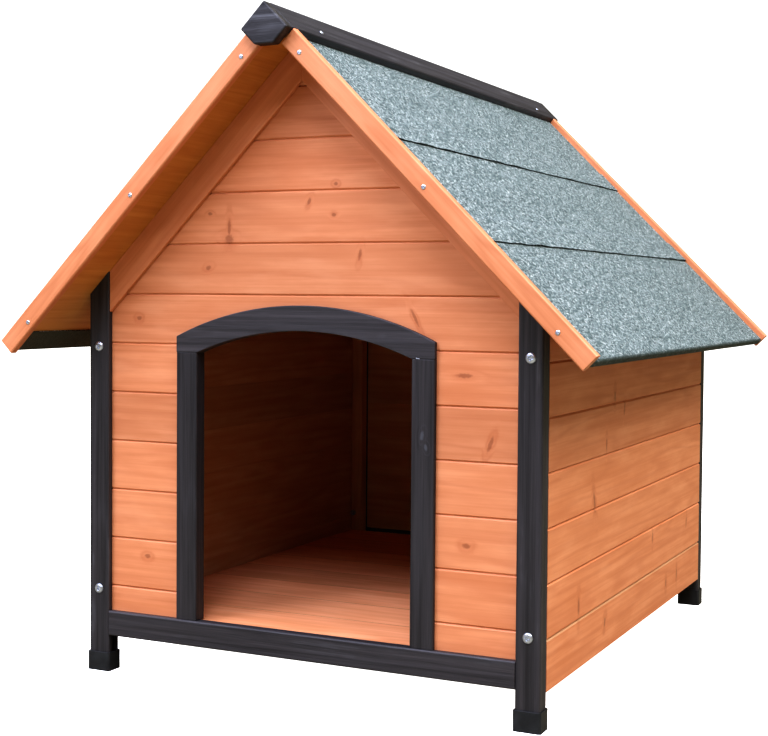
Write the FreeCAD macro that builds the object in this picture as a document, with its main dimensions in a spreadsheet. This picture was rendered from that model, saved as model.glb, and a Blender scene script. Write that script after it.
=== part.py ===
import FreeCAD, Part
import math
import os
import re
import Sketcher

# A timber dog house with a saddle roof, in millimetres.
# X runs to the right, Y to the back and Z up. The origin is on the ground, at the centre of the
# footprint, and the doorway is in the front wall, at negative Y.
#
# The house is a flat-pack. A front and a rear panel each have two corner posts, a bottom rail and
# tongued boards let into grooves in the posts. Two side panels carry a batten at each end, and
# bolts run through the posts into these battens. Two felted roof decks meet at the ridge.

doc = FreeCAD.newDocument("dog_house")
sheet = doc.addObject("Spreadsheet::Sheet", "Sizes")

SIZES = [
    # the whole house
    ("house_width", 740, "over the outer faces of the posts"),
    ("house_depth", 907, "over the front and rear faces of the posts"),
    ("roof_height", 982, "ground to the top of the ridge"),
    ("roof_pitch", 45, "slope of the roof in degrees"),
    ("slope_length", 666, "ridge to eave, along the top of the roof"),
    ("edge_ease", 1.8, "planed-off corner of the solid timbers"),
    ("fit_gap", 0.3, "clearance where one timber slips into another"),
    # corner posts and their feet
    ("post_width", 36, "along X"),
    ("post_depth", 26, "along Y"),
    ("groove_depth", 8, "groove in a post that takes the boards' ends"),
    ("cap_wall", 2, "wall of a plastic foot cap"),
    ("cap_base", 3, "floor of a plastic foot cap"),
    ("cap_height", 29, "ground to the cap's rim"),
    ("cap_corner", 2.5, "rounding of the cap's corners"),
    # wall boards
    ("board_cover", 75, "height that one board covers"),
    ("board_thickness", 12, "wall boards"),
    ("board_recess", 9.5, "post face to board face on the front and rear"),
    ("vee_depth", 2.2, "chamfer on a board's long edges"),
    ("tongue_height", 6, "tongue on a board's top edge"),
    ("tongue_thickness", 4, "tongue across the board"),
    ("joint_gap", 0.3, "shoulder gap between two boards"),
    ("front_first_board", 38.5, "visible height of the lowest front board"),
    ("side_first_board", 70.5, "height of the lowest side board"),
    ("side_bottom", 50.5, "ground to the side boards"),
    # bottom rails
    ("rail_bottom", 55.5, "ground to the rails"),
    ("rail_height", 38.5, "rails"),
    ("rail_depth", 18, "rails, from the post face inwards"),
    # doorway
    ("door_width", 352, "clear width between the jambs"),
    ("door_side", 402, "rail to the springing of the arch"),
    ("door_rise", 35, "rise of the arch above its springing"),
    ("jamb_width", 36, "face of a jamb"),
    ("header_side", 24, "height of the header's square ends"),
    ("header_rise", 48, "rise of the header's top edge"),
    ("trim_thickness", 7, "jambs, header and gable battens over the boards"),
    ("lining_thickness", 12, "lining of the doorway"),
    ("lining_proud", 3, "lining past the inner face of the boards"),
    # battens inside and under the gables
    ("gable_batten_width", 44, "gable battens, across the slope"),
    ("end_batten_depth", 24, "side panels' end battens, along Y"),
    ("roof_batten_size", 24, "square battens under the decks"),
    # floor
    ("floor_drop", 2, "rail top to floor top"),
    ("floor_thickness", 16, "floor boards"),
    ("floor_boards_count", 8, "number of floor boards"),
    ("floor_side_gap", 1.5, "floor to side boards"),
    ("ledger_width", 20, "ledgers under the floor's ends"),
    ("ledger_height", 20, "ledgers and bearers"),
    ("bearer_width", 40, "bearers nailed under the floor"),
    ("bearer_side_inset", 148, "side boards to the outer bearers' centres"),
    ("bearer_inset", 12, "floor edge to bearer end"),
    # roof
    ("deck_thickness", 9, "roof decks"),
    ("felt_thickness", 2, "mineral felt"),
    ("felt_lap", 50, "overlap of two felt strips"),
    ("felt_step", 6, "length of the step up onto a lap"),
    ("upper_lap_line", 255, "ridge to the upper strip's lower edge"),
    ("lower_lap_line", 452, "ridge to the middle strip's lower edge"),
    ("eave_wrap", 40, "felt turned under the eave"),
    ("roof_overhang", 85, "post face to bargeboard face"),
    ("bargeboard_width", 28, "across the slope"),
    ("bargeboard_thickness", 13, "along Y"),
    ("ridge_board_width", 52, "across the slope"),
    ("ridge_board_thickness", 11, "capping boards of the ridge"),
    ("ridge_overhang", 103, "post face to ridge plate face"),
    ("ridge_plate_thickness", 18, "along Y"),
    ("ridge_plate_cheek", 31, "short sides of a ridge plate"),
    # fasteners
    ("bolt_diameter", 6, "panel bolts"),
    ("bolt_hole", 6.6, "clearance hole for a panel bolt"),
    ("bolt_head_diameter", 15, "flat bolt heads"),
    ("bolt_head_height", 2.4, "flat bolt heads"),
    ("bolt_tail", 7, "bolt past the batten"),
    ("bolt_low", 127.5, "ground to the lower bolts"),
    ("bolt_top_inset", 79, "upper bolts to a post's outer top edge"),
    ("nut_width", 10, "across the flats"),
    ("nut_height", 5, "nuts"),
    ("screw_diameter", 3.5, "wood screws"),
    ("screw_hole", 3.7, "hole for a wood screw"),
    ("screw_head_diameter", 7, "wood screws"),
    ("screw_head_height", 1.4, "wood screws"),
    ("barge_screw_length", 30, "bargeboard screws"),
    ("barge_screw_first", 82.5, "ridge to the first bargeboard screw"),
    ("barge_screw_last", 56.5, "eave to the last bargeboard screw"),
    ("ridge_screw_length", 20, "ridge screws"),
    ("ridge_screw_drop", 37, "ridge to the ridge screws, down the slope"),
    ("ridge_screw_front", 117, "front plate face to the front ridge screws"),
    ("ridge_screw_rear", 100, "rear plate face to the rear ridge screws"),
]

for row, (alias, amount, note) in enumerate(SIZES, start=1):
    sheet.set("A%d" % row, alias)
    sheet.set("B%d" % row, str(amount))
    sheet.set("C%d" % row, note)
    sheet.setAlias("B%d" % row, alias)
doc.recompute()

# Places that several pieces share, as formulas of the sheet's sizes. Heights are above the ground,
# X places are from the centre plane, and a Y place is measured inwards from the posts' outer face.
HALF_WIDTH = "(house_width / 2)"
HALF_DEPTH = "(house_depth / 2)"
POST_INNER = "(house_width / 2 - post_width)"
BOARDS_INNER = "(house_width / 2 - board_thickness)"
BOARD_BACK = "(board_recess + board_thickness)"
PANEL_REACH = "(house_width / 2 - post_width + groove_depth - 2 * fit_gap)"
BATTEN_BACK = "(post_depth + end_batten_depth)"
RAIL_TOP = "(rail_bottom + rail_height)"
FLOOR_TOP = "(rail_bottom + rail_height - floor_drop)"
FLOOR_UNDER = "(rail_bottom + rail_height - floor_drop - floor_thickness)"
FLOOR_FRONT = "(rail_depth + fit_gap - house_depth / 2)"
FLOOR_REAR = "(house_depth / 2 - post_depth - end_batten_depth - fit_gap)"
TRIM_FACE = "(board_recess - trim_thickness)"
LINING_BACK = "(board_recess + board_thickness + lining_proud)"
DOOR_HALF = "(door_width / 2)"
DOOR_SPRING = "(rail_bottom + rail_height + door_side)"
DOOR_RADIUS = "(((door_width / 2)^2 + door_rise^2) / (2 * door_rise))"
ARCH_CENTRE = "(%s + door_rise - %s)" % (DOOR_SPRING, DOOR_RADIUS)
HEADER_HALF = "(door_width / 2 + jamb_width)"
BOLT_X = "(house_width / 2 - post_width / 2)"
BEARER_X = "(house_width / 2 - board_thickness - bearer_side_inset)"

# Depths below the top of the roof, square to the slope.
FELT_TOP = "ridge_board_thickness"
DECK_TOP = "(ridge_board_thickness + felt_thickness)"
DECK_UNDER = "(ridge_board_thickness + felt_thickness + deck_thickness)"
DECK_MIDDLE = "(ridge_board_thickness + felt_thickness + deck_thickness / 2)"
DECK_END = "(slope_length - felt_thickness)"
ROOF_UNDER = "(roof_height - %s / cos(roof_pitch))" % DECK_UNDER
DECK_LENGTH = "(house_depth + 2 * roof_overhang - 2 * bargeboard_thickness)"
BOLT_HIGH = "(%s - house_width / 2 * tan(roof_pitch) - bolt_top_inset)" % ROOF_UNDER
BARGE_STEP = "((slope_length - barge_screw_first - barge_screw_last) / 2)"

ENDS = (("front", 1), ("rear", -1))
SIDES = (("left", -1), ("right", 1))
nodes = []


def bind(formula):
    """Put the sheet's name before each size in a formula."""
    return re.sub(r"[a-z]+(?:_[a-z]+)+", lambda word: "Sizes." + word.group(0), formula)


def amount_of(formula):
    """What a formula is worth with the sheet's present sizes."""
    return float(sheet.evalExpression(bind(formula)))


def signed(sign, formula):
    return "%d * (%s)" % (sign, formula)


def down_slope(x, depth):
    """Distance down the slope at which a point that lies so deep is at x."""
    return "((%s + %s * sin(roof_pitch)) / cos(roof_pitch))" % (x, depth)


# ---------------------------------------------------------------- tools for bodies and sketches


def new_body(label):
    """A sub-part: its label names its node and its file."""
    body = doc.addObject("PartDesign::Body", label)
    body.Label = label
    body.AllowCompound = True
    nodes.append(body)
    return body


def place(body, x="0", y="0", z="0"):
    for axis, formula in zip("xyz", (x, y, z)):
        body.setExpression("Placement.Base." + axis, bind(formula))


def lay_on_slope(body, side, along="0", depth="0", y="0"):
    """Turn a body so that its X runs along one slope and its Z stands square to it.

    Its origin goes so far down the slope from the ridge, and so deep under the roof's top.
    """
    axis = FreeCAD.Vector(0, side, 0)
    body.Placement = FreeCAD.Placement(FreeCAD.Vector(), FreeCAD.Rotation(axis, amount_of("roof_pitch")))
    body.setExpression("Placement.Rotation.Angle", bind("roof_pitch"))
    across = "(%s) * cos(roof_pitch) - (%s) * sin(roof_pitch)" % (along, depth)
    drop = "(%s) * sin(roof_pitch) + (%s) * cos(roof_pitch)" % (along, depth)
    place(body, signed(side, across), y, "roof_height - (%s)" % drop)


def origin_part(body, role):
    return next(part for part in body.Origin.OriginFeatures if part.Role == role)


def new_sketch(body, role, offset):
    """An empty sketch on one of the body's own planes, moved along that plane's normal."""
    sketch = body.newObject("Sketcher::SketchObject", body.Label + "_sketch")
    sketch.AttachmentSupport = [(origin_part(body, role), "")]
    sketch.MapMode = "FlatFace"
    sketch.setExpression("AttachmentOffset.Base.z", bind(offset))
    return sketch


def fix(sketch, kind, where, formula):
    """Hold one coordinate of a sketched point to a formula."""
    index = sketch.addConstraint(Sketcher.Constraint(kind, *where, amount_of(formula)))
    sketch.setExpression("Constraints[%d]" % index, bind(formula))


def outline(body, role, corners, offset="0", arcs=None):
    """A closed outline through corners that are pairs of formulas.

    An entry in arcs turns the edge that follows a corner into an arc, centred on the sketch's
    vertical axis at the height that the entry gives.
    """
    sketch = new_sketch(body, role, offset)
    arcs = arcs or {}
    points = [FreeCAD.Vector(amount_of(across), amount_of(up), 0) for across, up in corners]
    starts = []
    for index, start in enumerate(points):
        finish = points[(index + 1) % len(points)]
        if index in arcs:
            starts.append(add_arc(sketch, start, finish, amount_of(arcs[index])))
        else:
            sketch.addGeometry(Part.LineSegment(start, finish), False)
            starts.append(1)
    for index, start_end in enumerate(starts):
        following = (index + 1) % len(starts)
        joint = (index, 3 - start_end, following, starts[following])
        sketch.addConstraint(Sketcher.Constraint("Coincident", *joint))
    for index, (across, up) in enumerate(corners):
        fix(sketch, "DistanceX", (-1, 1, index, starts[index]), across)
        fix(sketch, "DistanceY", (-1, 1, index, starts[index]), up)
    for index, centre in arcs.items():
        fix(sketch, "DistanceY", (-1, 1, index, 3), centre)
    return sketch


def add_arc(sketch, start, finish, centre_height):
    """Add the arc over the top between two corners, and say which of its ends is the start."""
    centre = FreeCAD.Vector(0, centre_height, 0)
    radius = (start - centre).Length
    first, last = (start, finish) if start.x > finish.x else (finish, start)
    angles = [math.atan2(point.y - centre.y, point.x - centre.x) for point in (first, last)]
    circle = Part.Circle(centre, FreeCAD.Vector(0, 0, 1), radius)
    sketch.addGeometry(Part.ArcOfCircle(circle, *angles), False)
    return 1 if start.x > finish.x else 2


def holes(body, role, centres, diameter, offset="0"):
    """A sketch of round holes at pairs of formulas."""
    sketch = new_sketch(body, role, offset)
    for index, (across, up) in enumerate(centres):
        centre = FreeCAD.Vector(amount_of(across), amount_of(up), 0)
        circle = Part.Circle(centre, FreeCAD.Vector(0, 0, 1), amount_of(diameter) / 2)
        sketch.addGeometry(circle, False)
        fix(sketch, "DistanceX", (-1, 1, index, 3), across)
        fix(sketch, "DistanceY", (-1, 1, index, 3), up)
        fix(sketch, "Diameter", (index,), diameter)
    return sketch


def feature(body, kind, sketch):
    made = body.newObject("PartDesign::" + kind, body.Label + "_" + kind.lower())
    made.Profile = sketch
    body.Tip = made
    return made


def pad(body, sketch, length, reverse=False, centred=False):
    made = feature(body, "Pad", sketch)
    made.setExpression("Length", bind(length))
    made.Reversed = reverse
    made.SideType = "Symmetric" if centred else "One side"
    return made


def cut(body, sketch, length=None, reverse=False):
    """Cut a sketch out of the body, right through it unless a length is given."""
    made = feature(body, "Pocket", sketch)
    if length is None:
        made.Type = "ThroughAll"
        made.SideType = "Symmetric"
    else:
        made.setExpression("Length", bind(length))
        made.Reversed = reverse
    return made


def turn(body, sketch, axis):
    """Turn a half outline round one of the body's axes."""
    made = feature(body, "Revolution", sketch)
    made.ReferenceAxis = (origin_part(body, axis), [""])
    made.Angle = 360
    return made


def repeat(body, original, axis, spacing, count, reverse=False, second=None):
    """Repeat a feature along one axis, or along two where second gives axis, spacing and count."""
    made = body.newObject("PartDesign::LinearPattern", body.Label + "_pattern")
    made.Originals = [original]
    made.Direction = (origin_part(body, axis), [""])
    made.Mode = "Spacing"
    made.Reversed = reverse
    made.setExpression("Offset", bind(spacing))
    made.setExpression("Occurrences", bind(count))
    if second:
        second_axis, second_spacing, second_count = second
        made.Direction2 = (origin_part(body, second_axis), [""])
        made.Mode2 = "Spacing"
        made.Spacings2 = [-1.0]  # a step of -1 stands for the offset
        made.setExpression("Offset2", bind(second_spacing))
        made.setExpression("Occurrences2", bind(second_count))
    body.Tip = made
    return made


def box_outline(low_across, low_up, high_across, high_up):
    return [(low_across, low_up), (high_across, low_up), (high_across, high_up), (low_across, high_up)]


def eased_outline(low_across, low_up, high_across, high_up, ease="edge_ease"):
    """A rectangle of timber with its four corners planed off."""
    return [
        ("%s + %s" % (low_across, ease), low_up), ("%s - %s" % (high_across, ease), low_up),
        (high_across, "%s + %s" % (low_up, ease)), (high_across, "%s - %s" % (high_up, ease)),
        ("%s - %s" % (high_across, ease), high_up), ("%s + %s" % (low_across, ease), high_up),
        (low_across, "%s - %s" % (high_up, ease)), (low_across, "%s + %s" % (low_up, ease)),
    ]


def mirrored(corners, across=1, up=1):
    """The same outline with its coordinates' signs changed."""
    return [(signed(across, first), signed(up, second)) for first, second in corners]


def cut_to_roof(body):
    """Take away what reaches above the underside of the two roof decks."""
    eave = "(%s - house_width * tan(roof_pitch))" % ROOF_UNDER
    sky = "(%s + house_width)" % ROOF_UNDER
    corners = [
        ("-house_width", eave), ("0", ROOF_UNDER), ("house_width", eave),
        ("house_width", sky), ("-house_width", sky),
    ]
    cut(body, outline(body, "XZ_Plane", corners))


def cut_below(body, level):
    """Take away what hangs below a level."""
    corners = box_outline("-house_width", "-house_width", "house_width", level)
    cut(body, outline(body, "XZ_Plane", corners))


def tongued_section(thickness, cover, chamfer):
    """Corners of a tongued board: depth from the face, and height above its lower shoulder."""
    near = "(%s - tongue_thickness) / 2" % thickness
    far = "(%s + tongue_thickness) / 2" % thickness
    shoulder = "%s - joint_gap" % cover
    return [
        ("0", chamfer), (chamfer, "0"), (near + " - joint_gap", "0"),
        (near + " - joint_gap", "tongue_height + joint_gap"),
        (far + " + joint_gap", "tongue_height + joint_gap"), (far + " + joint_gap", "0"),
        (thickness, "0"), (thickness, shoulder), (far, shoulder),
        (far, shoulder + " + tongue_height"), (near, shoulder + " + tongue_height"),
        (near, shoulder), (chamfer, shoulder), ("0", "%s - %s" % (shoulder, chamfer)),
    ]


# ---------------------------------------------------------------- corner posts and feet


def make_post(end_name, end, side_name, side):
    """A corner post: grooved for the boards, drilled for the bolts, cut to the roof's slope."""
    body = new_body("%s_%s_post" % (end_name, side_name))
    place(body, y=signed(-end, HALF_DEPTH))
    groove_front = "(board_recess - fit_gap)"
    groove_back = "(board_recess + board_thickness + fit_gap)"
    groove_bottom = "(%s + groove_depth)" % POST_INNER
    corners = [
        (HALF_WIDTH + " - edge_ease", "0"), (HALF_WIDTH, "edge_ease"),
        (HALF_WIDTH, "post_depth - edge_ease"), (HALF_WIDTH + " - edge_ease", "post_depth"),
        (POST_INNER + " + edge_ease", "post_depth"), (POST_INNER, "post_depth - edge_ease"),
        (POST_INNER, groove_back), (groove_bottom, groove_back),
        (groove_bottom, groove_front), (POST_INNER, groove_front),
        (POST_INNER, "edge_ease"), (POST_INNER + " + edge_ease", "0"),
    ]
    section = outline(body, "XY_Plane", mirrored(corners, side, end), "cap_base")
    pad(body, section, "%s - %s * tan(roof_pitch) - cap_base" % (ROOF_UNDER, POST_INNER))
    cut_to_roof(body)
    bolt_centres = [(signed(side, BOLT_X), "bolt_low"), (signed(side, BOLT_X), BOLT_HIGH)]
    cut(body, holes(body, "XZ_Plane", bolt_centres, "bolt_hole"))


def make_foot_cap(end_name, end, side_name, side):
    """A plastic shoe that the post stands in."""
    body = new_body("%s_%s_foot_cap" % (end_name, side_name))
    place(body, y=signed(-end, HALF_DEPTH))
    wall = "(cap_wall + fit_gap)"
    outer = eased_outline(POST_INNER + " - " + wall, "-" + wall,
                          HALF_WIDTH + " + " + wall, "post_depth + " + wall, "cap_corner")
    pad(body, outline(body, "XY_Plane", mirrored(outer, side, end)), "cap_height")
    inner = eased_outline(POST_INNER + " - fit_gap", "-fit_gap",
                          HALF_WIDTH + " + fit_gap", "post_depth + fit_gap", "edge_ease")
    cut(body, outline(body, "XY_Plane", mirrored(inner, side, end), "cap_height"),
        "cap_height - cap_base")


# ---------------------------------------------------------------- front and rear panels


def make_rail(end_name, end):
    """A bottom rail between two posts, with a stub tenon in each post's groove."""
    body = new_body(end_name + "_rail")
    place(body, y=signed(-end, HALF_DEPTH))
    section = eased_outline("0", "rail_bottom", "rail_depth", RAIL_TOP)
    pad(body, outline(body, "YZ_Plane", mirrored(section, end)), "2 * " + POST_INNER, centred=True)
    tenon = box_outline("board_recess", "rail_bottom + 2 * edge_ease",
                        "rail_depth - edge_ease", RAIL_TOP + " - 2 * edge_ease")
    pad(body, outline(body, "YZ_Plane", mirrored(tenon, end)), "2 * " + PANEL_REACH, centred=True)


def make_end_boards(end_name, end):
    """The boards of the front or rear panel, from the rail up to the roof's slopes."""
    body = new_body(end_name + "_boards")
    place(body, y=signed(-end, HALF_DEPTH))
    start = "(%s + front_first_board - board_cover)" % RAIL_TOP
    section = [("board_recess + " + depth, start + " + " + height)
               for depth, height in tongued_section("board_thickness", "board_cover", "vee_depth")]
    board = pad(body, outline(body, "YZ_Plane", mirrored(section, end)), "2 * " + PANEL_REACH,
                centred=True)
    count = "ceil((%s - %s) / board_cover)" % (ROOF_UNDER, start)
    repeat(body, board, "Z_Axis", "board_cover", count)
    cut_below(body, RAIL_TOP)
    cut_to_roof(body)
    return body


def cut_doorway(body):
    """Cut the arched doorway out of the front boards, round its lining."""
    reach = "(%s + lining_thickness + fit_gap)" % DOOR_HALF
    radius = "(%s + lining_thickness + fit_gap)" % DOOR_RADIUS
    shoulder = "(%s + sqrt(%s^2 - %s^2))" % (ARCH_CENTRE, radius, reach)
    corners = [("-" + reach, "rail_bottom"), (reach, "rail_bottom"), (reach, shoulder),
               ("-" + reach, shoulder)]
    cut(body, outline(body, "XZ_Plane", corners, arcs={2: ARCH_CENTRE}))


def make_jamb(side_name, side):
    """A door jamb: a facing over the boards, with a lining that covers their sawn ends."""
    body = new_body("door_%s_jamb" % side_name)
    place(body, y=signed(-1, HALF_DEPTH))
    corners = [
        (DOOR_HALF + " + edge_ease", TRIM_FACE), (HEADER_HALF + " - edge_ease", TRIM_FACE),
        (HEADER_HALF, TRIM_FACE + " + edge_ease"), (HEADER_HALF, "board_recess"),
        (DOOR_HALF + " + lining_thickness", "board_recess"),
        (DOOR_HALF + " + lining_thickness", LINING_BACK), (DOOR_HALF, LINING_BACK),
        (DOOR_HALF, TRIM_FACE + " + edge_ease"),
    ]
    section = outline(body, "XY_Plane", mirrored(corners, side), RAIL_TOP)
    pad(body, section, "door_side")


def make_header():
    """The arched head of the doorway: its facing, and the lining behind it."""
    body = new_body("door_header")
    place(body, y=signed(-1, HALF_DEPTH))
    crown_radius = "((%s^2 + header_rise^2) / (2 * header_rise))" % HEADER_HALF
    crown_foot = "(%s + header_side)" % DOOR_SPRING
    crown_centre = "(%s + header_rise - %s)" % (crown_foot, crown_radius)
    facing = [
        ("-" + HEADER_HALF, DOOR_SPRING), ("-" + DOOR_HALF, DOOR_SPRING), (DOOR_HALF, DOOR_SPRING),
        (HEADER_HALF, DOOR_SPRING), (HEADER_HALF, crown_foot), ("-" + HEADER_HALF, crown_foot),
    ]
    face = outline(body, "XZ_Plane", facing, "-" + TRIM_FACE, {1: ARCH_CENTRE, 4: crown_centre})
    pad(body, face, "trim_thickness", reverse=True)
    reach = "(%s + lining_thickness)" % DOOR_HALF
    shoulder = "(%s + sqrt((%s + lining_thickness)^2 - %s^2))" % (ARCH_CENTRE, DOOR_RADIUS, reach)
    lining = [
        ("-" + reach, DOOR_SPRING), ("-" + DOOR_HALF, DOOR_SPRING), (DOOR_HALF, DOOR_SPRING),
        (reach, DOOR_SPRING), (reach, shoulder), ("-" + reach, shoulder),
    ]
    ring = outline(body, "XZ_Plane", lining, "-" + TRIM_FACE, {1: ARCH_CENTRE, 4: ARCH_CENTRE})
    pad(body, ring, LINING_BACK + " - " + TRIM_FACE, reverse=True)


def make_gable_batten(end_name, end, side_name, side):
    """A batten under the roof's edge, mitred at the apex and cut upright against the post."""
    body = new_body("%s_%s_gable_batten" % (end_name, side_name))
    lay_on_slope(body, side, y=signed(-end, HALF_DEPTH))
    lower = "(%s + gable_batten_width)" % DECK_UNDER
    corners = [
        (down_slope("0", DECK_UNDER), "-" + DECK_UNDER),
        (down_slope(POST_INNER, DECK_UNDER), "-" + DECK_UNDER),
        (down_slope(POST_INNER, lower), "-" + lower), (down_slope("0", lower), "-" + lower),
    ]
    face = outline(body, "XZ_Plane", mirrored(corners, side), signed(-end, TRIM_FACE))
    pad(body, face, "trim_thickness", reverse=end > 0)


# ---------------------------------------------------------------- side panels


def make_side_boards(side_name, side):
    """The boards of one side panel, which butt against the posts."""
    body = new_body(side_name + "_side_boards")
    start = "(side_bottom + side_first_board - board_cover)"
    section = [(HALF_WIDTH + " - (" + depth + ")", start + " + " + height)
               for depth, height in tongued_section("board_thickness", "board_cover", "vee_depth")]
    board = pad(body, outline(body, "XZ_Plane", mirrored(section, side)),
                "house_depth - 2 * post_depth", centred=True)
    top = "(%s - %s * tan(roof_pitch))" % (ROOF_UNDER, BOARDS_INNER)
    count = "ceil((%s - %s) / board_cover)" % (top, start)
    repeat(body, board, "Z_Axis", "board_cover", count)
    cut_below(body, "side_bottom")
    cut_to_roof(body)


def make_end_batten(end_name, end, side_name, side):
    """The upright at one end of a side panel, which the panel bolts pull against the post."""
    body = new_body("%s_%s_end_batten" % (end_name, side_name))
    place(body, y=signed(-end, HALF_DEPTH))
    corners = eased_outline(POST_INNER, "post_depth", BOARDS_INNER, BATTEN_BACK)
    section = outline(body, "XY_Plane", mirrored(corners, side, end), "rail_bottom")
    pad(body, section, "%s - %s * tan(roof_pitch) - rail_bottom" % (ROOF_UNDER, POST_INNER))
    cut_to_roof(body)
    bolt_centres = [(signed(side, BOLT_X), "bolt_low"), (signed(side, BOLT_X), BOLT_HIGH)]
    cut(body, holes(body, "XZ_Plane", bolt_centres, "bolt_hole"))


# ---------------------------------------------------------------- floor


def make_floor_boards():
    """Tongued floor boards across the house, notched round the front end battens."""
    body = new_body("floor_boards")
    cover = "((%s - %s) / floor_boards_count)" % (FLOOR_REAR, FLOOR_FRONT)
    section = [(FLOOR_FRONT + " + " + height, FLOOR_TOP + " - (" + depth + ")")
               for depth, height in tongued_section("floor_thickness", cover, "joint_gap")]
    half_length = "(%s - floor_side_gap)" % BOARDS_INNER
    board = pad(body, outline(body, "YZ_Plane", section), "2 * " + half_length, centred=True)
    repeat(body, board, "Y_Axis", cover, "floor_boards_count")
    beyond = box_outline("-house_width", FLOOR_REAR, "house_width", HALF_DEPTH)
    cut(body, outline(body, "XY_Plane", beyond))
    for side_name, side in SIDES:
        notch = box_outline(POST_INNER + " - floor_side_gap", "-" + HALF_DEPTH,
                            HALF_WIDTH, "%s + floor_side_gap - %s" % (BATTEN_BACK, HALF_DEPTH))
        cut(body, outline(body, "XY_Plane", mirrored(notch, side)))


def make_floor_bearers():
    """Three battens nailed under the floor boards, which keep them flat."""
    body = new_body("floor_bearers")
    place(body, x="-" + BEARER_X, y="%s + bearer_inset" % FLOOR_FRONT)
    section = eased_outline("-bearer_width / 2", FLOOR_UNDER + " - ledger_height",
                            "bearer_width / 2", FLOOR_UNDER)
    length = "%s - %s - 2 * bearer_inset" % (FLOOR_REAR, FLOOR_FRONT)
    bearer = pad(body, outline(body, "XZ_Plane", section), length, reverse=True)
    repeat(body, bearer, "X_Axis", BEARER_X, "3")


def make_ledger(side_name, side):
    """A batten along a side panel, which carries the floor boards' ends."""
    body = new_body(side_name + "_floor_ledger")
    section = eased_outline(BOARDS_INNER + " - ledger_width", FLOOR_UNDER + " - ledger_height",
                            BOARDS_INNER, FLOOR_UNDER)
    pad(body, outline(body, "XZ_Plane", mirrored(section, side)),
        "house_depth - 2 * %s" % BATTEN_BACK, centred=True)


# ---------------------------------------------------------------- roof


def screw_down_ridge(body, side):
    """Bore the holes that the ridge screws pass through, from the top of the roof."""
    ridge_end = "(house_depth / 2 + ridge_overhang)"
    centres = [(signed(side, "ridge_screw_drop"), "ridge_screw_front - " + ridge_end),
               (signed(side, "ridge_screw_drop"), ridge_end + " - ridge_screw_rear")]
    cut(body, holes(body, "XY_Plane", centres, "screw_hole"), "ridge_screw_length + fit_gap")


def make_deck(side_name, side):
    """A roof deck, mitred at the ridge, with pilot holes for the screws."""
    body = new_body(side_name + "_roof_deck")
    lay_on_slope(body, side)
    corners = [
        (down_slope("0", DECK_TOP), "-" + DECK_TOP), (DECK_END, "-" + DECK_TOP),
        (DECK_END, "-" + DECK_UNDER), (down_slope("0", DECK_UNDER), "-" + DECK_UNDER),
    ]
    pad(body, outline(body, "XZ_Plane", mirrored(corners, side)), DECK_LENGTH, centred=True)
    centres = [(signed(side, "barge_screw_first + %d * %s" % (step, BARGE_STEP)),
                "-" + DECK_MIDDLE) for step in range(3)]
    for end_name, end in ENDS:
        face = signed(end, DECK_LENGTH + " / 2")
        cut(body, holes(body, "XZ_Plane", centres, "screw_hole", face),
            "barge_screw_length - bargeboard_thickness + fit_gap", reverse=end < 0)
    screw_down_ridge(body, side)


def make_roof_batten(end_name, end, side_name, side):
    """A batten under a deck, which drops inside the gable and keeps the roof in place."""
    body = new_body("%s_%s_roof_batten" % (end_name, side_name))
    lay_on_slope(body, side, y=signed(-end, HALF_DEPTH))
    lower = "(%s + roof_batten_size)" % DECK_UNDER
    foot = down_slope("(%s - edge_ease)" % POST_INNER, DECK_UNDER)
    corners = [
        (down_slope("0", DECK_UNDER), "-" + DECK_UNDER), (foot, "-" + DECK_UNDER),
        (foot, "-" + lower), (down_slope("0", lower), "-" + lower),
    ]
    near = signed(-end, BOARD_BACK + " + fit_gap")
    face = outline(body, "XZ_Plane", mirrored(corners, side), near)
    pad(body, face, "roof_batten_size", reverse=end > 0)


def lapped_strip(start, lap_line):
    """Corners of a felt strip that steps up onto the strip below it at its lower edge."""
    lap_start = "(%s - felt_lap)" % lap_line
    step_end = "(%s - felt_lap + felt_step)" % lap_line
    raised = "-(%s - felt_thickness)" % FELT_TOP
    return [
        (start(DECK_TOP), "-" + DECK_TOP), (lap_start + " - felt_thickness / 2", "-" + DECK_TOP),
        (step_end + " - felt_thickness / 2", "-" + FELT_TOP), (lap_line, "-" + FELT_TOP),
        (lap_line, raised), (step_end + " - felt_thickness", raised),
        (lap_start + " - felt_thickness", "-" + FELT_TOP), (start(FELT_TOP), "-" + FELT_TOP),
    ]


def make_upper_felt(side_name, side):
    """The felt strip that starts under the ridge board."""
    body = new_body(side_name + "_upper_felt")
    lay_on_slope(body, side)
    corners = lapped_strip(lambda depth: down_slope("0", depth), "upper_lap_line")
    pad(body, outline(body, "XZ_Plane", mirrored(corners, side)), DECK_LENGTH, centred=True)
    screw_down_ridge(body, side)


def make_middle_felt(side_name, side):
    """The felt strip that starts under the upper strip."""
    body = new_body(side_name + "_middle_felt")
    lay_on_slope(body, side)
    top_edge = "(upper_lap_line - felt_lap + felt_step)"
    corners = lapped_strip(lambda depth: top_edge, "lower_lap_line")
    pad(body, outline(body, "XZ_Plane", mirrored(corners, side)), DECK_LENGTH, centred=True)


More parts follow.
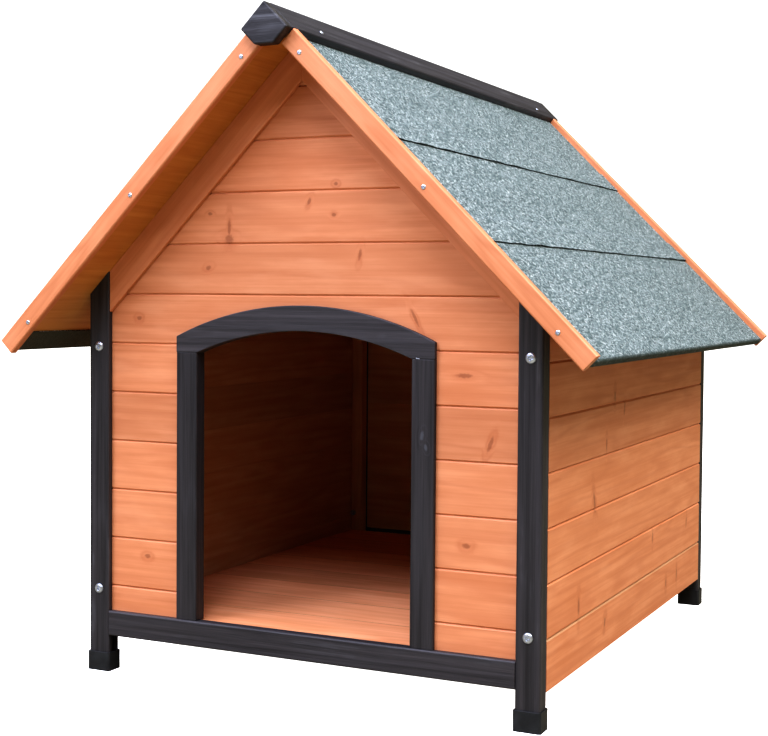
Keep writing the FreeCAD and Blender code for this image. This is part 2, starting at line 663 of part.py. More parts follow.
def make_lower_felt(side_name, side):
    """The felt strip that wraps round the eave and is turned under it."""
    body = new_body(side_name + "_lower_felt")
    lay_on_slope(body, side)
    top_edge = "(lower_lap_line - felt_lap + felt_step)"
    under = "(%s + felt_thickness)" % DECK_UNDER
    turned_in = "(%s - eave_wrap)" % DECK_END
    corners = [
        (top_edge, "-" + FELT_TOP), ("slope_length - felt_thickness", "-" + FELT_TOP),
        ("slope_length", "-" + DECK_TOP), ("slope_length", "-" + DECK_UNDER),
        ("slope_length - felt_thickness", "-" + under), (turned_in, "-" + under),
        (turned_in, "-" + DECK_UNDER), (DECK_END, "-" + DECK_UNDER),
        (DECK_END, "-" + DECK_TOP), (top_edge, "-" + DECK_TOP),
    ]
    pad(body, outline(body, "XZ_Plane", mirrored(corners, side)), DECK_LENGTH, centred=True)


def make_bargeboard(end_name, end, side_name, side):
    """A bargeboard screwed to the deck's edge, from the ridge board down to the eave."""
    body = new_body("%s_%s_bargeboard" % (end_name, side_name))
    face = "(house_depth / 2 + roof_overhang)"
    lay_on_slope(body, side, y=signed(-end, face))
    section = eased_outline("0", "-bargeboard_width", "bargeboard_thickness", "0")
    top_end = "(ridge_board_width + fit_gap)"
    sketch = outline(body, "YZ_Plane", mirrored(section, end), signed(side, top_end))
    pad(body, sketch, "slope_length - " + top_end, reverse=side < 0)
    centres = [(signed(side, "barge_screw_first + %d * %s" % (step, BARGE_STEP)),
                "-" + DECK_MIDDLE) for step in range(3)]
    cut(body, holes(body, "XZ_Plane", centres, "screw_hole"))


def make_ridge_board(side_name, side):
    """A capping board of the ridge, mitred against its partner."""
    body = new_body(side_name + "_ridge_board")
    lay_on_slope(body, side)
    corners = [
        ("0", "0"), ("ridge_board_width - edge_ease", "0"), ("ridge_board_width", "-edge_ease"),
        ("ridge_board_width", "-ridge_board_thickness"),
        (down_slope("0", "ridge_board_thickness"), "-ridge_board_thickness"),
    ]
    length = "house_depth + 2 * (ridge_overhang - ridge_plate_thickness)"
    pad(body, outline(body, "XZ_Plane", mirrored(corners, side)), length, centred=True)
    screw_down_ridge(body, side)


def make_ridge_plate(end_name, end):
    """The plate that closes one end of the ridge, between the bargeboards' upper ends."""
    body = new_body(end_name + "_ridge_plate")
    place(body, y=signed(-end, "house_depth / 2 + ridge_overhang"), z="roof_height")
    wing = "ridge_board_width * cos(roof_pitch)"
    wing_drop = "ridge_board_width * sin(roof_pitch)"
    foot = wing + " - ridge_plate_cheek * sin(roof_pitch)"
    foot_drop = wing_drop + " + ridge_plate_cheek * cos(roof_pitch)"
    corners = [
        ("0", "0"), (wing, signed(-1, wing_drop)), (foot, signed(-1, foot_drop)),
        (signed(-1, foot), signed(-1, foot_drop)), (signed(-1, wing), signed(-1, wing_drop)),
    ]
    pad(body, outline(body, "XZ_Plane", corners), "ridge_plate_thickness", reverse=end > 0)


# ---------------------------------------------------------------- fasteners


def make_bolts(end_name, end):
    """Four flat-headed bolts through the posts and the end battens."""
    body = new_body(end_name + "_bolts")
    place(body, signed(-1, BOLT_X), signed(-end, HALF_DEPTH), "bolt_low")
    corners = [
        ("-bolt_head_height", "0"), ("-bolt_head_height", "bolt_head_diameter * 0.4"),
        ("-bolt_head_height / 2", "bolt_head_diameter / 2"), ("0", "bolt_head_diameter / 2"),
        ("0", "bolt_diameter / 2"), (BATTEN_BACK + " + bolt_tail", "bolt_diameter / 2"),
        (BATTEN_BACK + " + bolt_tail", "0"),
    ]
    bolt = turn(body, outline(body, "YZ_Plane", mirrored(corners, end)), "Y_Axis")
    repeat(body, bolt, "X_Axis", "2 * " + BOLT_X, "2",
           second=("Z_Axis", BOLT_HIGH + " - bolt_low", "2"))


def make_nuts(end_name, end):
    """The nuts inside the house, against the end battens."""
    body = new_body(end_name + "_nuts")
    place(body, signed(-1, BOLT_X), signed(-end, "%s - %s" % (HALF_DEPTH, BATTEN_BACK)), "bolt_low")
    corner_reach = "nut_width / 2 / cos(30)"
    corners = [("%s * cos(%d)" % (corner_reach, 60 * step), "%s * sin(%d)" % (corner_reach, 60 * step))
               for step in range(6)]
    blank = pad(body, outline(body, "XZ_Plane", corners), "nut_height", reverse=end > 0)
    bore = cut(body, holes(body, "XZ_Plane", [("0", "0")], "bolt_diameter + 0.2"))
    pattern = repeat(body, blank, "X_Axis", "2 * " + BOLT_X, "2",
                     second=("Z_Axis", BOLT_HIGH + " - bolt_low", "2"))
    pattern.Originals = [blank, bore]


def screw_outline(length):
    """Half outline of a wood screw: how deep, and how far from its axis."""
    return [
        ("-screw_head_height", "0"), ("-screw_head_height", "screw_head_diameter * 0.35"),
        ("-screw_head_height / 2", "screw_head_diameter / 2"), ("0", "screw_head_diameter / 2"),
        ("0", "screw_diameter / 2"), (length + " - screw_diameter", "screw_diameter / 2"),
        (length, "0"),
    ]


def make_bargeboard_screws(end_name, end, side_name, side):
    """Three screws through one bargeboard into the edge of the deck."""
    body = new_body("%s_%s_bargeboard_screws" % (end_name, side_name))
    lay_on_slope(body, side, "barge_screw_first", DECK_MIDDLE,
                 signed(-end, "house_depth / 2 + roof_overhang"))
    profile = outline(body, "YZ_Plane", mirrored(screw_outline("barge_screw_length"), end))
    screw = turn(body, profile, "Y_Axis")
    repeat(body, screw, "X_Axis", BARGE_STEP, "3", reverse=side < 0)


def make_ridge_screws(side_name, side):
    """Two screws through one ridge board into the deck."""
    body = new_body(side_name + "_ridge_screws")
    ridge_end = "(house_depth / 2 + ridge_overhang)"
    lay_on_slope(body, side, "ridge_screw_drop", y="ridge_screw_front - " + ridge_end)
    corners = [(reach, signed(-1, depth)) for depth, reach in screw_outline("ridge_screw_length")]
    screw = turn(body, outline(body, "XZ_Plane", corners), "Z_Axis")
    repeat(body, screw, "Y_Axis",
           "2 * %s - ridge_screw_front - ridge_screw_rear" % ridge_end, "2")


# ---------------------------------------------------------------- the whole house


def make_corner(end_name, end, side_name, side):
    make_post(end_name, end, side_name, side)
    make_foot_cap(end_name, end, side_name, side)
    make_end_batten(end_name, end, side_name, side)
    make_gable_batten(end_name, end, side_name, side)
    make_roof_batten(end_name, end, side_name, side)
    make_bargeboard(end_name, end, side_name, side)
    make_bargeboard_screws(end_name, end, side_name, side)


def make_end(end_name, end):
    make_rail(end_name, end)
    boards = make_end_boards(end_name, end)
    if end_name == "front":
        cut_doorway(boards)
    make_ridge_plate(end_name, end)
    make_bolts(end_name, end)
    make_nuts(end_name, end)


def make_side(side_name, side):
    make_side_boards(side_name, side)
    make_ledger(side_name, side)
    make_jamb(side_name, side)
    make_deck(side_name, side)
    make_upper_felt(side_name, side)
    make_middle_felt(side_name, side)
    make_lower_felt(side_name, side)
    make_ridge_board(side_name, side)
    make_ridge_screws(side_name, side)


for end_name, end in ENDS:
    make_end(end_name, end)
    for side_name, side in SIDES:
        make_corner(end_name, end, side_name, side)
for side_name, side in SIDES:
    make_side(side_name, side)
make_header()
make_floor_boards()
make_floor_bearers()
doc.recompute()

for item in doc.Objects:
    if "Invalid" in item.State or "Error" in item.State:
        raise RuntimeError("%s was not built: %s" % (item.Label, item.State))
for node in nodes:
    if node.Shape.isNull() or not node.Shape.isValid() or not node.Shape.Solids:
        raise RuntimeError("%s has no sound shape" % node.Label)

os.makedirs("parts", exist_ok=True)
for node in nodes:
    node.Shape.exportStep("parts/%s.step" % node.Label)
print("%d nodes, %d solids" % (len(nodes), sum(len(node.Shape.Solids) for node in nodes)))
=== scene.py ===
# %% [markdown]
# # A timber dog house
# The construction model already holds every timber, strip of felt and bolt at its true place. This
# lesson dresses it: it rounds the timbers' edges, gives each material its grain and wear, and adds
# the small fittings. Everything is in metres, in the construction model's own frame: X to the right
# of the doorway, Y to the back and Z up.

# %% Load the construction model
import math
import random

import bmesh
import bpy
from mathutils import Matrix, Vector, noise


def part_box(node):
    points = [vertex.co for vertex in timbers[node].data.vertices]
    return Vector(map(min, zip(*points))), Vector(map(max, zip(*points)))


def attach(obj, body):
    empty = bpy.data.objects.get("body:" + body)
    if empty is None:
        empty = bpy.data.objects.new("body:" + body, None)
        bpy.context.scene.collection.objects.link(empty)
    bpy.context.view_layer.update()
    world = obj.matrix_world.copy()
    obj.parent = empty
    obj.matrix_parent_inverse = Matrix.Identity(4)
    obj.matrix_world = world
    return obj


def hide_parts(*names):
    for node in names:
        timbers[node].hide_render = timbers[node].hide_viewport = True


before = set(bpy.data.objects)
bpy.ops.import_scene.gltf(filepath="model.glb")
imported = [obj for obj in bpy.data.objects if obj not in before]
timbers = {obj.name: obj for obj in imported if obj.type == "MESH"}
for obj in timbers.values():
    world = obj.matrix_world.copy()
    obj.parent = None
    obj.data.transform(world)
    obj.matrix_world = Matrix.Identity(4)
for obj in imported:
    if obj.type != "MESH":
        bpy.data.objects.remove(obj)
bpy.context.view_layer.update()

random.seed(11)
print(len(timbers), "pieces in the construction model")

# %% [markdown]
# The house's own measures come from the construction model's boxes, so the dressing follows it if a
# size changes. The roof's pitch comes from a bargeboard: how far it goes down as it goes across. For
# each side it gives two directions, down the slope and out of the roof.

# %% Measure the house
low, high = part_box("front_left_bargeboard")
PITCH = math.atan2(high[2] - low[2], high[0] - low[0])
ROOF_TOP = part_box("right_ridge_board")[1][2]
SLOPES = {
    side: (Vector((sign * math.cos(PITCH), 0, -math.sin(PITCH))),
           Vector((sign * math.sin(PITCH), 0, math.cos(PITCH))))
    for side, sign in (("left", -1), ("right", 1))
}
print("roof pitch", round(math.degrees(PITCH), 1), "degrees, ridge", round(ROOF_TOP, 3), "m up")

# %% [markdown]
# Materials are node trees, and most of a tree is small sums. These helpers add one node and connect
# it in a single line, so that the recipes below read like recipes.

# %% Helpers that wire up node trees


def plug(tree, socket, value):
    """Feed a socket with another node's output, or set it to a number or a colour."""
    if isinstance(value, bpy.types.NodeSocket):
        tree.links.new(value, socket)
    else:
        socket.default_value = value


def add(tree, kind, inputs=None, **settings):
    """Add a shader node. inputs gives what each of its sockets is fed with."""
    made = tree.nodes.new("ShaderNode" + kind)
    for name, value in settings.items():
        setattr(made, name, value)
    for key, value in (inputs or {}).items():
        plug(tree, made.inputs[key], value)
    return made


def sum_of(tree, operation, *values, clamp=False):
    """One sum with numbers."""
    numbers = dict(enumerate(values))
    return add(tree, "Math", numbers, operation=operation, use_clamp=clamp).outputs[0]


def vector_sum(tree, operation, *values, out=0):
    """One sum with vectors. Sums that give a number put it out at 1."""
    return add(tree, "VectorMath", dict(enumerate(values)), operation=operation).outputs[out]


def fade(tree, value, start, end):
    """1 where the value is at start, 0 where it is at end, and smooth between them."""
    inputs = {"Value": value, "From Min": start, "From Max": end, "To Min": 1.0, "To Max": 0.0}
    return add(tree, "MapRange", inputs, interpolation_type="SMOOTHSTEP").outputs[0]


def mix(tree, factor, first, second, how="MIX"):
    """Blend two colours. Sockets 0, 6 and 7 are the factor and the colours of a Mix node."""
    made = add(tree, "Mix", data_type="RGBA", blend_type=how)
    for index, value in ((0, factor), (6, first), (7, second)):
        plug(tree, made.inputs[index], value)
    return made.outputs[2]


def tinted(tree, base, tint, mask, gain, offset=0.0):
    """Blend a tint over a colour, as far as the mask times the gain plus the offset says."""
    return mix(tree, sum_of(tree, "MULTIPLY_ADD", mask, gain, offset, clamp=True), base, tint)


def colour(red, green, blue):
    """An opaque colour."""
    return (red, green, blue, 1.0)


def new_group(name, ins, outs):
    """An empty shader node group. ins and outs pair a socket's name with its kind."""
    tree = bpy.data.node_groups.new(name, "ShaderNodeTree")
    for title, kind in ins:
        tree.interface.new_socket(title, in_out="INPUT", socket_type="NodeSocket" + kind)
    for title, kind in outs:
        tree.interface.new_socket(title, in_out="OUTPUT", socket_type="NodeSocket" + kind)
    return tree, tree.nodes.new("NodeGroupInput"), tree.nodes.new("NodeGroupOutput")


def fill(tree, group, inputs):
    """Place a node group, with its own values."""
    return add(tree, "Group", inputs, node_tree=group)


print("helpers ready")

# %% [markdown]
# Softwood shows four things at once: broad bands where the saw crossed the year rings, fine streaks
# along the board, finer fibres that only catch the light, and soft clouds where the stain soaked in
# more or less. All four are noise stretched along the board. A number for each board shifts the
# pattern, so that it breaks off at every joint, and the bend input pushes the rings round a knot.

# %% Group: grain
# Features per metre along, across and into the timber, then the noise's detail and roughness.
GRAIN_NOISE = {
    "Rings": ((1.5, 17.0, 17.0), 2.0, 0.45),
    "Streaks": ((2.2, 115.0, 115.0), 5.0, 0.72),
    "Fibres": ((40.0, 1300.0, 1300.0), 2.0, 0.5),
    "Clouds": ((9.0, 34.0, 34.0), 3.0, 0.55),
}
RING_WAVES = 46.0
BOARD_SHIFT = (0.731, 0.293, 0.517)
GRAIN, inside, outside = new_group(
    "grain", [("Place", "Vector"), ("Board", "Float"), ("Bend", "Float")],
    [(title, "Float") for title in GRAIN_NOISE])
shift = vector_sum(GRAIN, "SCALE", BOARD_SHIFT)
GRAIN.links.new(inside.outputs["Board"], shift.node.inputs["Scale"])
spot = vector_sum(GRAIN, "ADD", inside.outputs["Place"], shift)
for title, (stretch, detail, roughness) in GRAIN_NOISE.items():
    stretched = vector_sum(GRAIN, "MULTIPLY", spot, stretch)
    pattern = add(GRAIN, "TexNoise", {"Vector": stretched, "Scale": 1.0, "Detail": detail,
                                      "Roughness": roughness}).outputs[0]
    if title == "Rings":
        bent = sum_of(GRAIN, "ADD", pattern, inside.outputs["Bend"])
        wave = sum_of(GRAIN, "SINE", sum_of(GRAIN, "MULTIPLY", bent, RING_WAVES))
        pattern = sum_of(GRAIN, "MULTIPLY_ADD", wave, 0.5, 0.5)
    GRAIN.links.new(pattern, outside.inputs[title])
print("group", GRAIN.name, "with", len(GRAIN.nodes), "nodes")

# %% [markdown]
# A knot is where a branch grew. Cut across it is a small dark eye, and cut along it is a spike that
# runs over the board. One group draws both: an ellipse with a half length, a half height and a
# slant, dark in its core and with a halo that bends the rings about it. Noise makes its rim ragged.

# %% Group: one knot
# A rim fades out between two reaches, counted in half sizes of the knot.
CORE_RIM, STRAY_CORE_RIM, HALO_RIM = (0.45, 1.15), (0.5, 1.1), (0.7, 3.2)
KNOT, inside, outside = new_group(
    "knot", [("Place", "Vector"), ("Centre", "Vector"), ("Half length", "Float"),
             ("Half height", "Float"), ("Slant", "Float")], [("Core", "Float"), ("Halo", "Float")])
offset = vector_sum(KNOT, "SUBTRACT", inside.outputs["Place"], inside.outputs["Centre"])
parts = add(KNOT, "SeparateXYZ", {0: offset})
leaning = sum_of(KNOT, "MULTIPLY", parts.outputs[1], inside.outputs["Slant"])
along = sum_of(KNOT, "SUBTRACT", parts.outputs[0], leaning)
along = sum_of(KNOT, "DIVIDE", along, inside.outputs["Half length"])
across = sum_of(KNOT, "DIVIDE", parts.outputs[1], inside.outputs["Half height"])
reach = sum_of(KNOT, "SQRT", sum_of(KNOT, "ADD", sum_of(KNOT, "POWER", along, 2.0),
                                    sum_of(KNOT, "POWER", across, 2.0)))
ragged = add(KNOT, "TexNoise", {"Vector": inside.outputs["Place"], "Scale": 260.0, "Detail": 2.0})
reach = sum_of(KNOT, "ADD", reach, sum_of(KNOT, "MULTIPLY_ADD", ragged.outputs[0], 0.7, -0.35))
KNOT.links.new(fade(KNOT, reach, *CORE_RIM), outside.inputs["Core"])
KNOT.links.new(fade(KNOT, reach, *HALO_RIM), outside.inputs["Halo"])
print("group", KNOT.name)

# %% [markdown]
# The same boards also have stray knots that nobody placed. A cell pattern drops one point into each
# cell, and only cells whose random number is below the wanted share keep theirs. A second random
# number gives the knot its size, as a part of a cell.

# %% Group: stray knots
CELLS_PER_METRE, CELL_SHIFT = (3.4, 6.5, 0.0), (1.37, 2.11, 0.0)
SMALLEST_KNOT, KNOT_SPREAD = 0.016, 0.022
STRAY, inside, outside = new_group(
    "stray_knots", [("Place", "Vector"), ("Board", "Float"), ("Share", "Float")],
    [("Core", "Float"), ("Halo", "Float")])
shift = vector_sum(STRAY, "SCALE", CELL_SHIFT)
STRAY.links.new(inside.outputs["Board"], shift.node.inputs["Scale"])
spot = vector_sum(STRAY, "ADD", inside.outputs["Place"], shift)
spot = vector_sum(STRAY, "MULTIPLY", spot, CELLS_PER_METRE)
cells = add(STRAY, "TexVoronoi", {"Vector": spot, "Scale": 1.0})
chance = add(STRAY, "SeparateColor", {0: cells.outputs["Color"]})
kept = sum_of(STRAY, "LESS_THAN", chance.outputs[0], inside.outputs["Share"])
size = sum_of(STRAY, "MULTIPLY_ADD", chance.outputs[1], KNOT_SPREAD, SMALLEST_KNOT)
reach = sum_of(STRAY, "DIVIDE", cells.outputs["Distance"], size)
for title, rim in (("Core", STRAY_CORE_RIM), ("Halo", HALO_RIM)):
    spread = sum_of(STRAY, "MULTIPLY", fade(STRAY, reach, *rim), kept)
    STRAY.links.new(spread, outside.inputs[title])
print("group", STRAY.name)

# %% [markdown]
# A wall is a stack of boards that each cover the same height. Dividing the height by that cover
# tells which board a point is on, and how far it is from the nearest joint, where dirt can collect.
# Each board also draws a tone and a warmth of its own.

# %% Group: a row of boards
SEAM_EDGE = (0.0004, 0.0013)
ROW, inside, outside = new_group(
    "board_row", [("Height", "Float"), ("First joint", "Float"), ("Cover", "Float")],
    [("Board", "Float"), ("Joint", "Float"), ("Tone", "Float"), ("Warmth", "Float")])
counted = sum_of(ROW, "DIVIDE", sum_of(ROW, "SUBTRACT", inside.outputs["Height"],
                                       inside.outputs["First joint"]), inside.outputs["Cover"])
board = sum_of(ROW, "FLOOR", counted)
ROW.links.new(board, outside.inputs["Board"])
beyond = sum_of(ROW, "ABSOLUTE", sum_of(ROW, "SUBTRACT", counted, sum_of(ROW, "ROUND", counted)))
beyond = sum_of(ROW, "MULTIPLY", beyond, inside.outputs["Cover"])
ROW.links.new(fade(ROW, beyond, *SEAM_EDGE), outside.inputs["Joint"])
dice = add(ROW, "TexWhiteNoise", {"W": sum_of(ROW, "ADD", board, 0.37)}, noise_dimensions="1D")
ROW.links.new(dice.outputs["Value"], outside.inputs["Tone"])
second_throw = add(ROW, "SeparateColor", {0: dice.outputs["Color"]}).outputs[1]
ROW.links.new(second_throw, outside.inputs["Warmth"])
print("group", ROW.name)

# %% [markdown]
# Grain needs to know which way a timber runs. Three directions turn a point of the house into how
# far along, how far across and how deep it lies in its timber. Posts run up, boards run across the
# house or into it, bargeboards run down the slope, and decks and ridge boards run along the ridge.

# %% Directions of the timbers
ACROSS_HOUSE = ((1, 0, 0), (0, 0, 1), (0, 1, 0))
INTO_HOUSE = ((0, 1, 0), (0, 0, 1), (1, 0, 0))
UPRIGHT = ((0, 0, 1), (1, 0, 0), (0, 1, 0))
FLOORING = ((1, 0, 0), (0, 1, 0), (0, 0, 1))
DOWN_SLOPE = {side: (tuple(down), tuple(out), (0, 1, 0)) for side, (down, out) in SLOPES.items()}
ALONG_RIDGE = {side: ((0, 1, 0), tuple(down), tuple(out)) for side, (down, out) in SLOPES.items()}
# Times a place in its timber, this leaves out the depth, so that a knot is the same all through.
FLAT = (1.0, 1.0, 0.0)


def new_material(name):
    """A material with an empty tree but for its Principled BSDF."""
    made = bpy.data.materials.new(name)
    made.use_nodes = True
    tree = made.node_tree
    tree.nodes.clear()
    surface = add(tree, "BsdfPrincipled")
    add(tree, "OutputMaterial", {"Surface": surface.outputs[0]})
    return made, tree, surface


def place_in_timber(tree, directions):
    """Where a point lies in its timber: along it, across it and how deep."""
    point = add(tree, "TexCoord").outputs["Object"]
    reaches = [vector_sum(tree, "DOT_PRODUCT", point, direction, out=1) for direction in directions]
    return add(tree, "CombineXYZ", dict(enumerate(reaches))).outputs[0], reaches


print("directions for", 4 + len(DOWN_SLOPE) + len(ALONG_RIDGE), "kinds of timber")

# %% [markdown]
# The boards and battens have a clear orange-brown stain. The stain soaks deeper into the soft early
# wood and sits on the hard rings, so the rings show as darker, redder lines. Each board takes the
# stain a little differently. Only the floor's joints hold a dark line of dirt. The walls' faces that
# look towards the house's middle are less orange than the outer ones, and take a cooler tint.

# %% Material: honey-stained timber
HONEY = colour(0.71, 0.300, 0.150)
HONEY_DEEP = colour(0.56, 0.195, 0.078)
HONEY_PALE = colour(0.78, 0.370, 0.205)
HONEY_WARM = colour(0.66, 0.300, 0.150)
HONEY_RING = colour(0.45, 0.125, 0.043)
KNOT_BROWN = colour(0.20, 0.055, 0.020)
SEAM_BROWN = colour(0.30, 0.090, 0.030)
TONE_SPREAD, LEAST_TONE = 0.16, 0.92
INNER_TINT = colour(0.80, 1.09, 1.22)
HOUSE_MIDDLE = (0.0, 0.0, ROOF_TOP / 2)


def all_knots(tree, place, board, knots, share):
    """The cores and halos of the placed knots and of some stray ones."""
    stray = fill(tree, STRAY, {"Place": place, "Board": board, "Share": share})
    core, halo = stray.outputs["Core"], stray.outputs["Halo"]
    for along, across, half_length, half_height, slant in knots:
        one = fill(tree, KNOT, {"Place": place, "Centre": (along, across, 0.0), "Slant": slant,
                                "Half length": half_length, "Half height": half_height})
        core = sum_of(tree, "MAXIMUM", core, one.outputs["Core"])
        halo = sum_of(tree, "MAXIMUM", halo, one.outputs["Halo"])
    return core, halo


def emboss(tree, surface, relief, strength, distance):
    """Let a height pattern stand up from the surface. The distance is how high a 1 stands."""
    bump = add(tree, "Bump", {"Height": relief, "Strength": strength, "Distance": distance})
    tree.links.new(bump.outputs[0], surface.inputs["Normal"])


def honey_timber(name, directions, row=None, knots=(), share=0.3, shade=(1.0, 1.0, 1.0), seam=0.0,
                 wall=False):
    """Orange-stained softwood. row gives the first joint and the cover of a panel's boards, share
    says how many stray knots there are, seam how dark the joints are, and wall whether the faces
    that look inwards are cooler."""
    made, tree, surface = new_material(name)
    place, reaches = place_in_timber(tree, directions)
    flat = vector_sum(tree, "MULTIPLY", place, FLAT)
    board, joint, tone, warmth = 0.0, 0.0, 0.5, 0.5
    if row:
        boards = fill(tree, ROW, {"Height": reaches[1], "First joint": row[0], "Cover": row[1]})
        board, joint, tone, warmth = boards.outputs
    core, halo = all_knots(tree, flat, board, knots, share)
    bend = sum_of(tree, "MULTIPLY", halo, 0.10)
    grain = fill(tree, GRAIN, {"Place": place, "Board": board, "Bend": bend}).outputs
    rings = sum_of(tree, "POWER", grain["Rings"], 2.2)
    stain = tinted(tree, HONEY, HONEY_DEEP, grain["Streaks"], 2.3, -0.88)
    stain = tinted(tree, stain, HONEY_RING, rings, 0.30)
    stain = tinted(tree, stain, HONEY_DEEP, grain["Clouds"], 1.9, -0.80)
    stain = tinted(tree, stain, HONEY_PALE, grain["Clouds"], -1.9, 0.84)
    stain = tinted(tree, stain, HONEY_WARM, warmth, 0.25)
    level = [sum_of(tree, "MULTIPLY_ADD", tone, TONE_SPREAD * part, LEAST_TONE * part)
             for part in shade]
    level = add(tree, "CombineColor", dict(enumerate(level)))
    stain = mix(tree, 1.0, stain, level.outputs[0], "MULTIPLY")
    stain = tinted(tree, stain, HONEY_RING, halo, 0.24)
    stain = tinted(tree, stain, KNOT_BROWN, core, 0.50)
    stain = tinted(tree, stain, SEAM_BROWN, joint, seam)
    if wall:
        point = add(tree, "TexCoord").outputs["Object"]
        outward = vector_sum(tree, "SUBTRACT", point, HOUSE_MIDDLE)
        facing = add(tree, "NewGeometry").outputs["Normal"]
        turned_out = vector_sum(tree, "DOT_PRODUCT", facing, outward, out=1)
        inner = sum_of(tree, "LESS_THAN", turned_out, 0.0)
        stain = mix(tree, inner, stain, mix(tree, 1.0, stain, INNER_TINT, "MULTIPLY"))
    tree.links.new(stain, surface.inputs["Base Color"])
    gloss = sum_of(tree, "MULTIPLY_ADD", grain["Streaks"], 0.20, 0.40)
    tree.links.new(gloss, surface.inputs["Roughness"])
    fibres = sum_of(tree, "MULTIPLY", grain["Fibres"], 0.65)
    relief = sum_of(tree, "MULTIPLY_ADD", rings, 0.35, fibres)
    emboss(tree, surface, relief, 0.22, 0.0006)
    surface.inputs["Specular IOR Level"].default_value = 0.38
    return made


print("honey stain ready")

# %% [markdown]
# The posts, rails, doorway and ridge are stained black. The stain hides the colour but not the
# grain: it lies thinner along some streaks, and hard rings stand up a little and catch a bluish
# light, which their paler, bluish colour also paints in as a sheen. Here and there it is rubbed off
# in short grey scuffs along the grain, where a patch of the clouds and a streak meet. A higher
# rubbing makes those patches larger.

# %% Material: black-stained timber
BLACK_THIN = (0.056, 0.0500, 0.0530)
BLACK_THICK = (0.0175, 0.0155, 0.0168)
BLACK_RING_SHEEN = colour(0.0620, 0.0580, 0.0640)
BLACK_RUBBED = colour(0.115, 0.115, 0.125)
BLACK_KNOT = colour(0.105, 0.110, 0.125)


def shaded(base, shade):
    """A colour made darker or lighter, with a factor for each of its three parts."""
    return colour(*(part * factor for part, factor in zip(base, shade)))


def dark_timber(name, directions, knots=(), share=0.25, shade=(1.0, 1.0, 1.0), rubbing=-3.7):
    """Black-stained softwood, seen mostly by its sheen."""
    made, tree, surface = new_material(name)
    place = place_in_timber(tree, directions)[0]
    flat = vector_sum(tree, "MULTIPLY", place, FLAT)
    core, halo = all_knots(tree, flat, 0.0, knots, share)
    bend = sum_of(tree, "MULTIPLY", halo, 0.16)
    grain = fill(tree, GRAIN, {"Place": place, "Board": 3.0, "Bend": bend}).outputs
    rings = sum_of(tree, "POWER", grain["Rings"], 3.0)
    stain = tinted(tree, shaded(BLACK_THICK, shade), shaded(BLACK_THIN, shade),
                   grain["Streaks"], 3.0, -1.12)
    # The rings' paler, bluish colour is a painted sheen.
    stain = tinted(tree, stain, BLACK_RING_SHEEN, rings, 0.22)
    patches = sum_of(tree, "MULTIPLY_ADD", grain["Clouds"], 6.0, rubbing, clamp=True)
    scratches = sum_of(tree, "MULTIPLY_ADD", grain["Streaks"], 5.0, -2.4, clamp=True)
    stain = tinted(tree, stain, BLACK_RUBBED, patches, scratches)
    stain = tinted(tree, stain, BLACK_KNOT, core, 0.55)
    tree.links.new(stain, surface.inputs["Base Color"])
    gloss = sum_of(tree, "MULTIPLY_ADD", grain["Streaks"], -0.22, 0.62)
    tree.links.new(gloss, surface.inputs["Roughness"])
    fibres = sum_of(tree, "MULTIPLY", grain["Fibres"], 0.9)
    relief = sum_of(tree, "ADD", sum_of(tree, "MULTIPLY_ADD", rings, 0.5, fibres), core)
    emboss(tree, surface, relief, 0.35, 0.0008)
    surface.inputs["Specular IOR Level"].default_value = 0.5
    return made


print("black stain ready")

# %% [markdown]
# Roofing felt is bitumen with crushed slate pressed into it. A cell pattern gives each granule its
# own grey-green, some of them nearly white and some black where the bitumen shows, and the cells'
# distance rounds each one in the relief. The underside has no granules. Where the sheet was cut they
# have come off and the black bitumen is bare. Along the fold over the eave a ragged, dark band is
# painted in as shade.

# %% Material: mineral felt
GRANULES_PER_METRE, CLUMPS_PER_METRE = 430.0, 150.0
GRANULES = [
    (0.0, (0.009, 0.018, 0.019)), (0.28, (0.054, 0.086, 0.087)), (0.6, (0.155, 0.204, 0.206)),
    (0.85, (0.303, 0.355, 0.357)), (1.0, (0.625, 0.670, 0.665)),
]
FELT_CLUMP = colour(0.165, 0.220, 0.219)
FELT_BACK, FELT_BACK_DUSTY = colour(0.040, 0.043, 0.030), colour(0.072, 0.076, 0.056)
# The second colour is the painted shade along the eave's fold.
BITUMEN_CUT, BITUMEN_FOLD_SHADE = colour(0.012, 0.020, 0.018), colour(0.016, 0.030, 0.026)
FACES_TOWARDS = 0.6


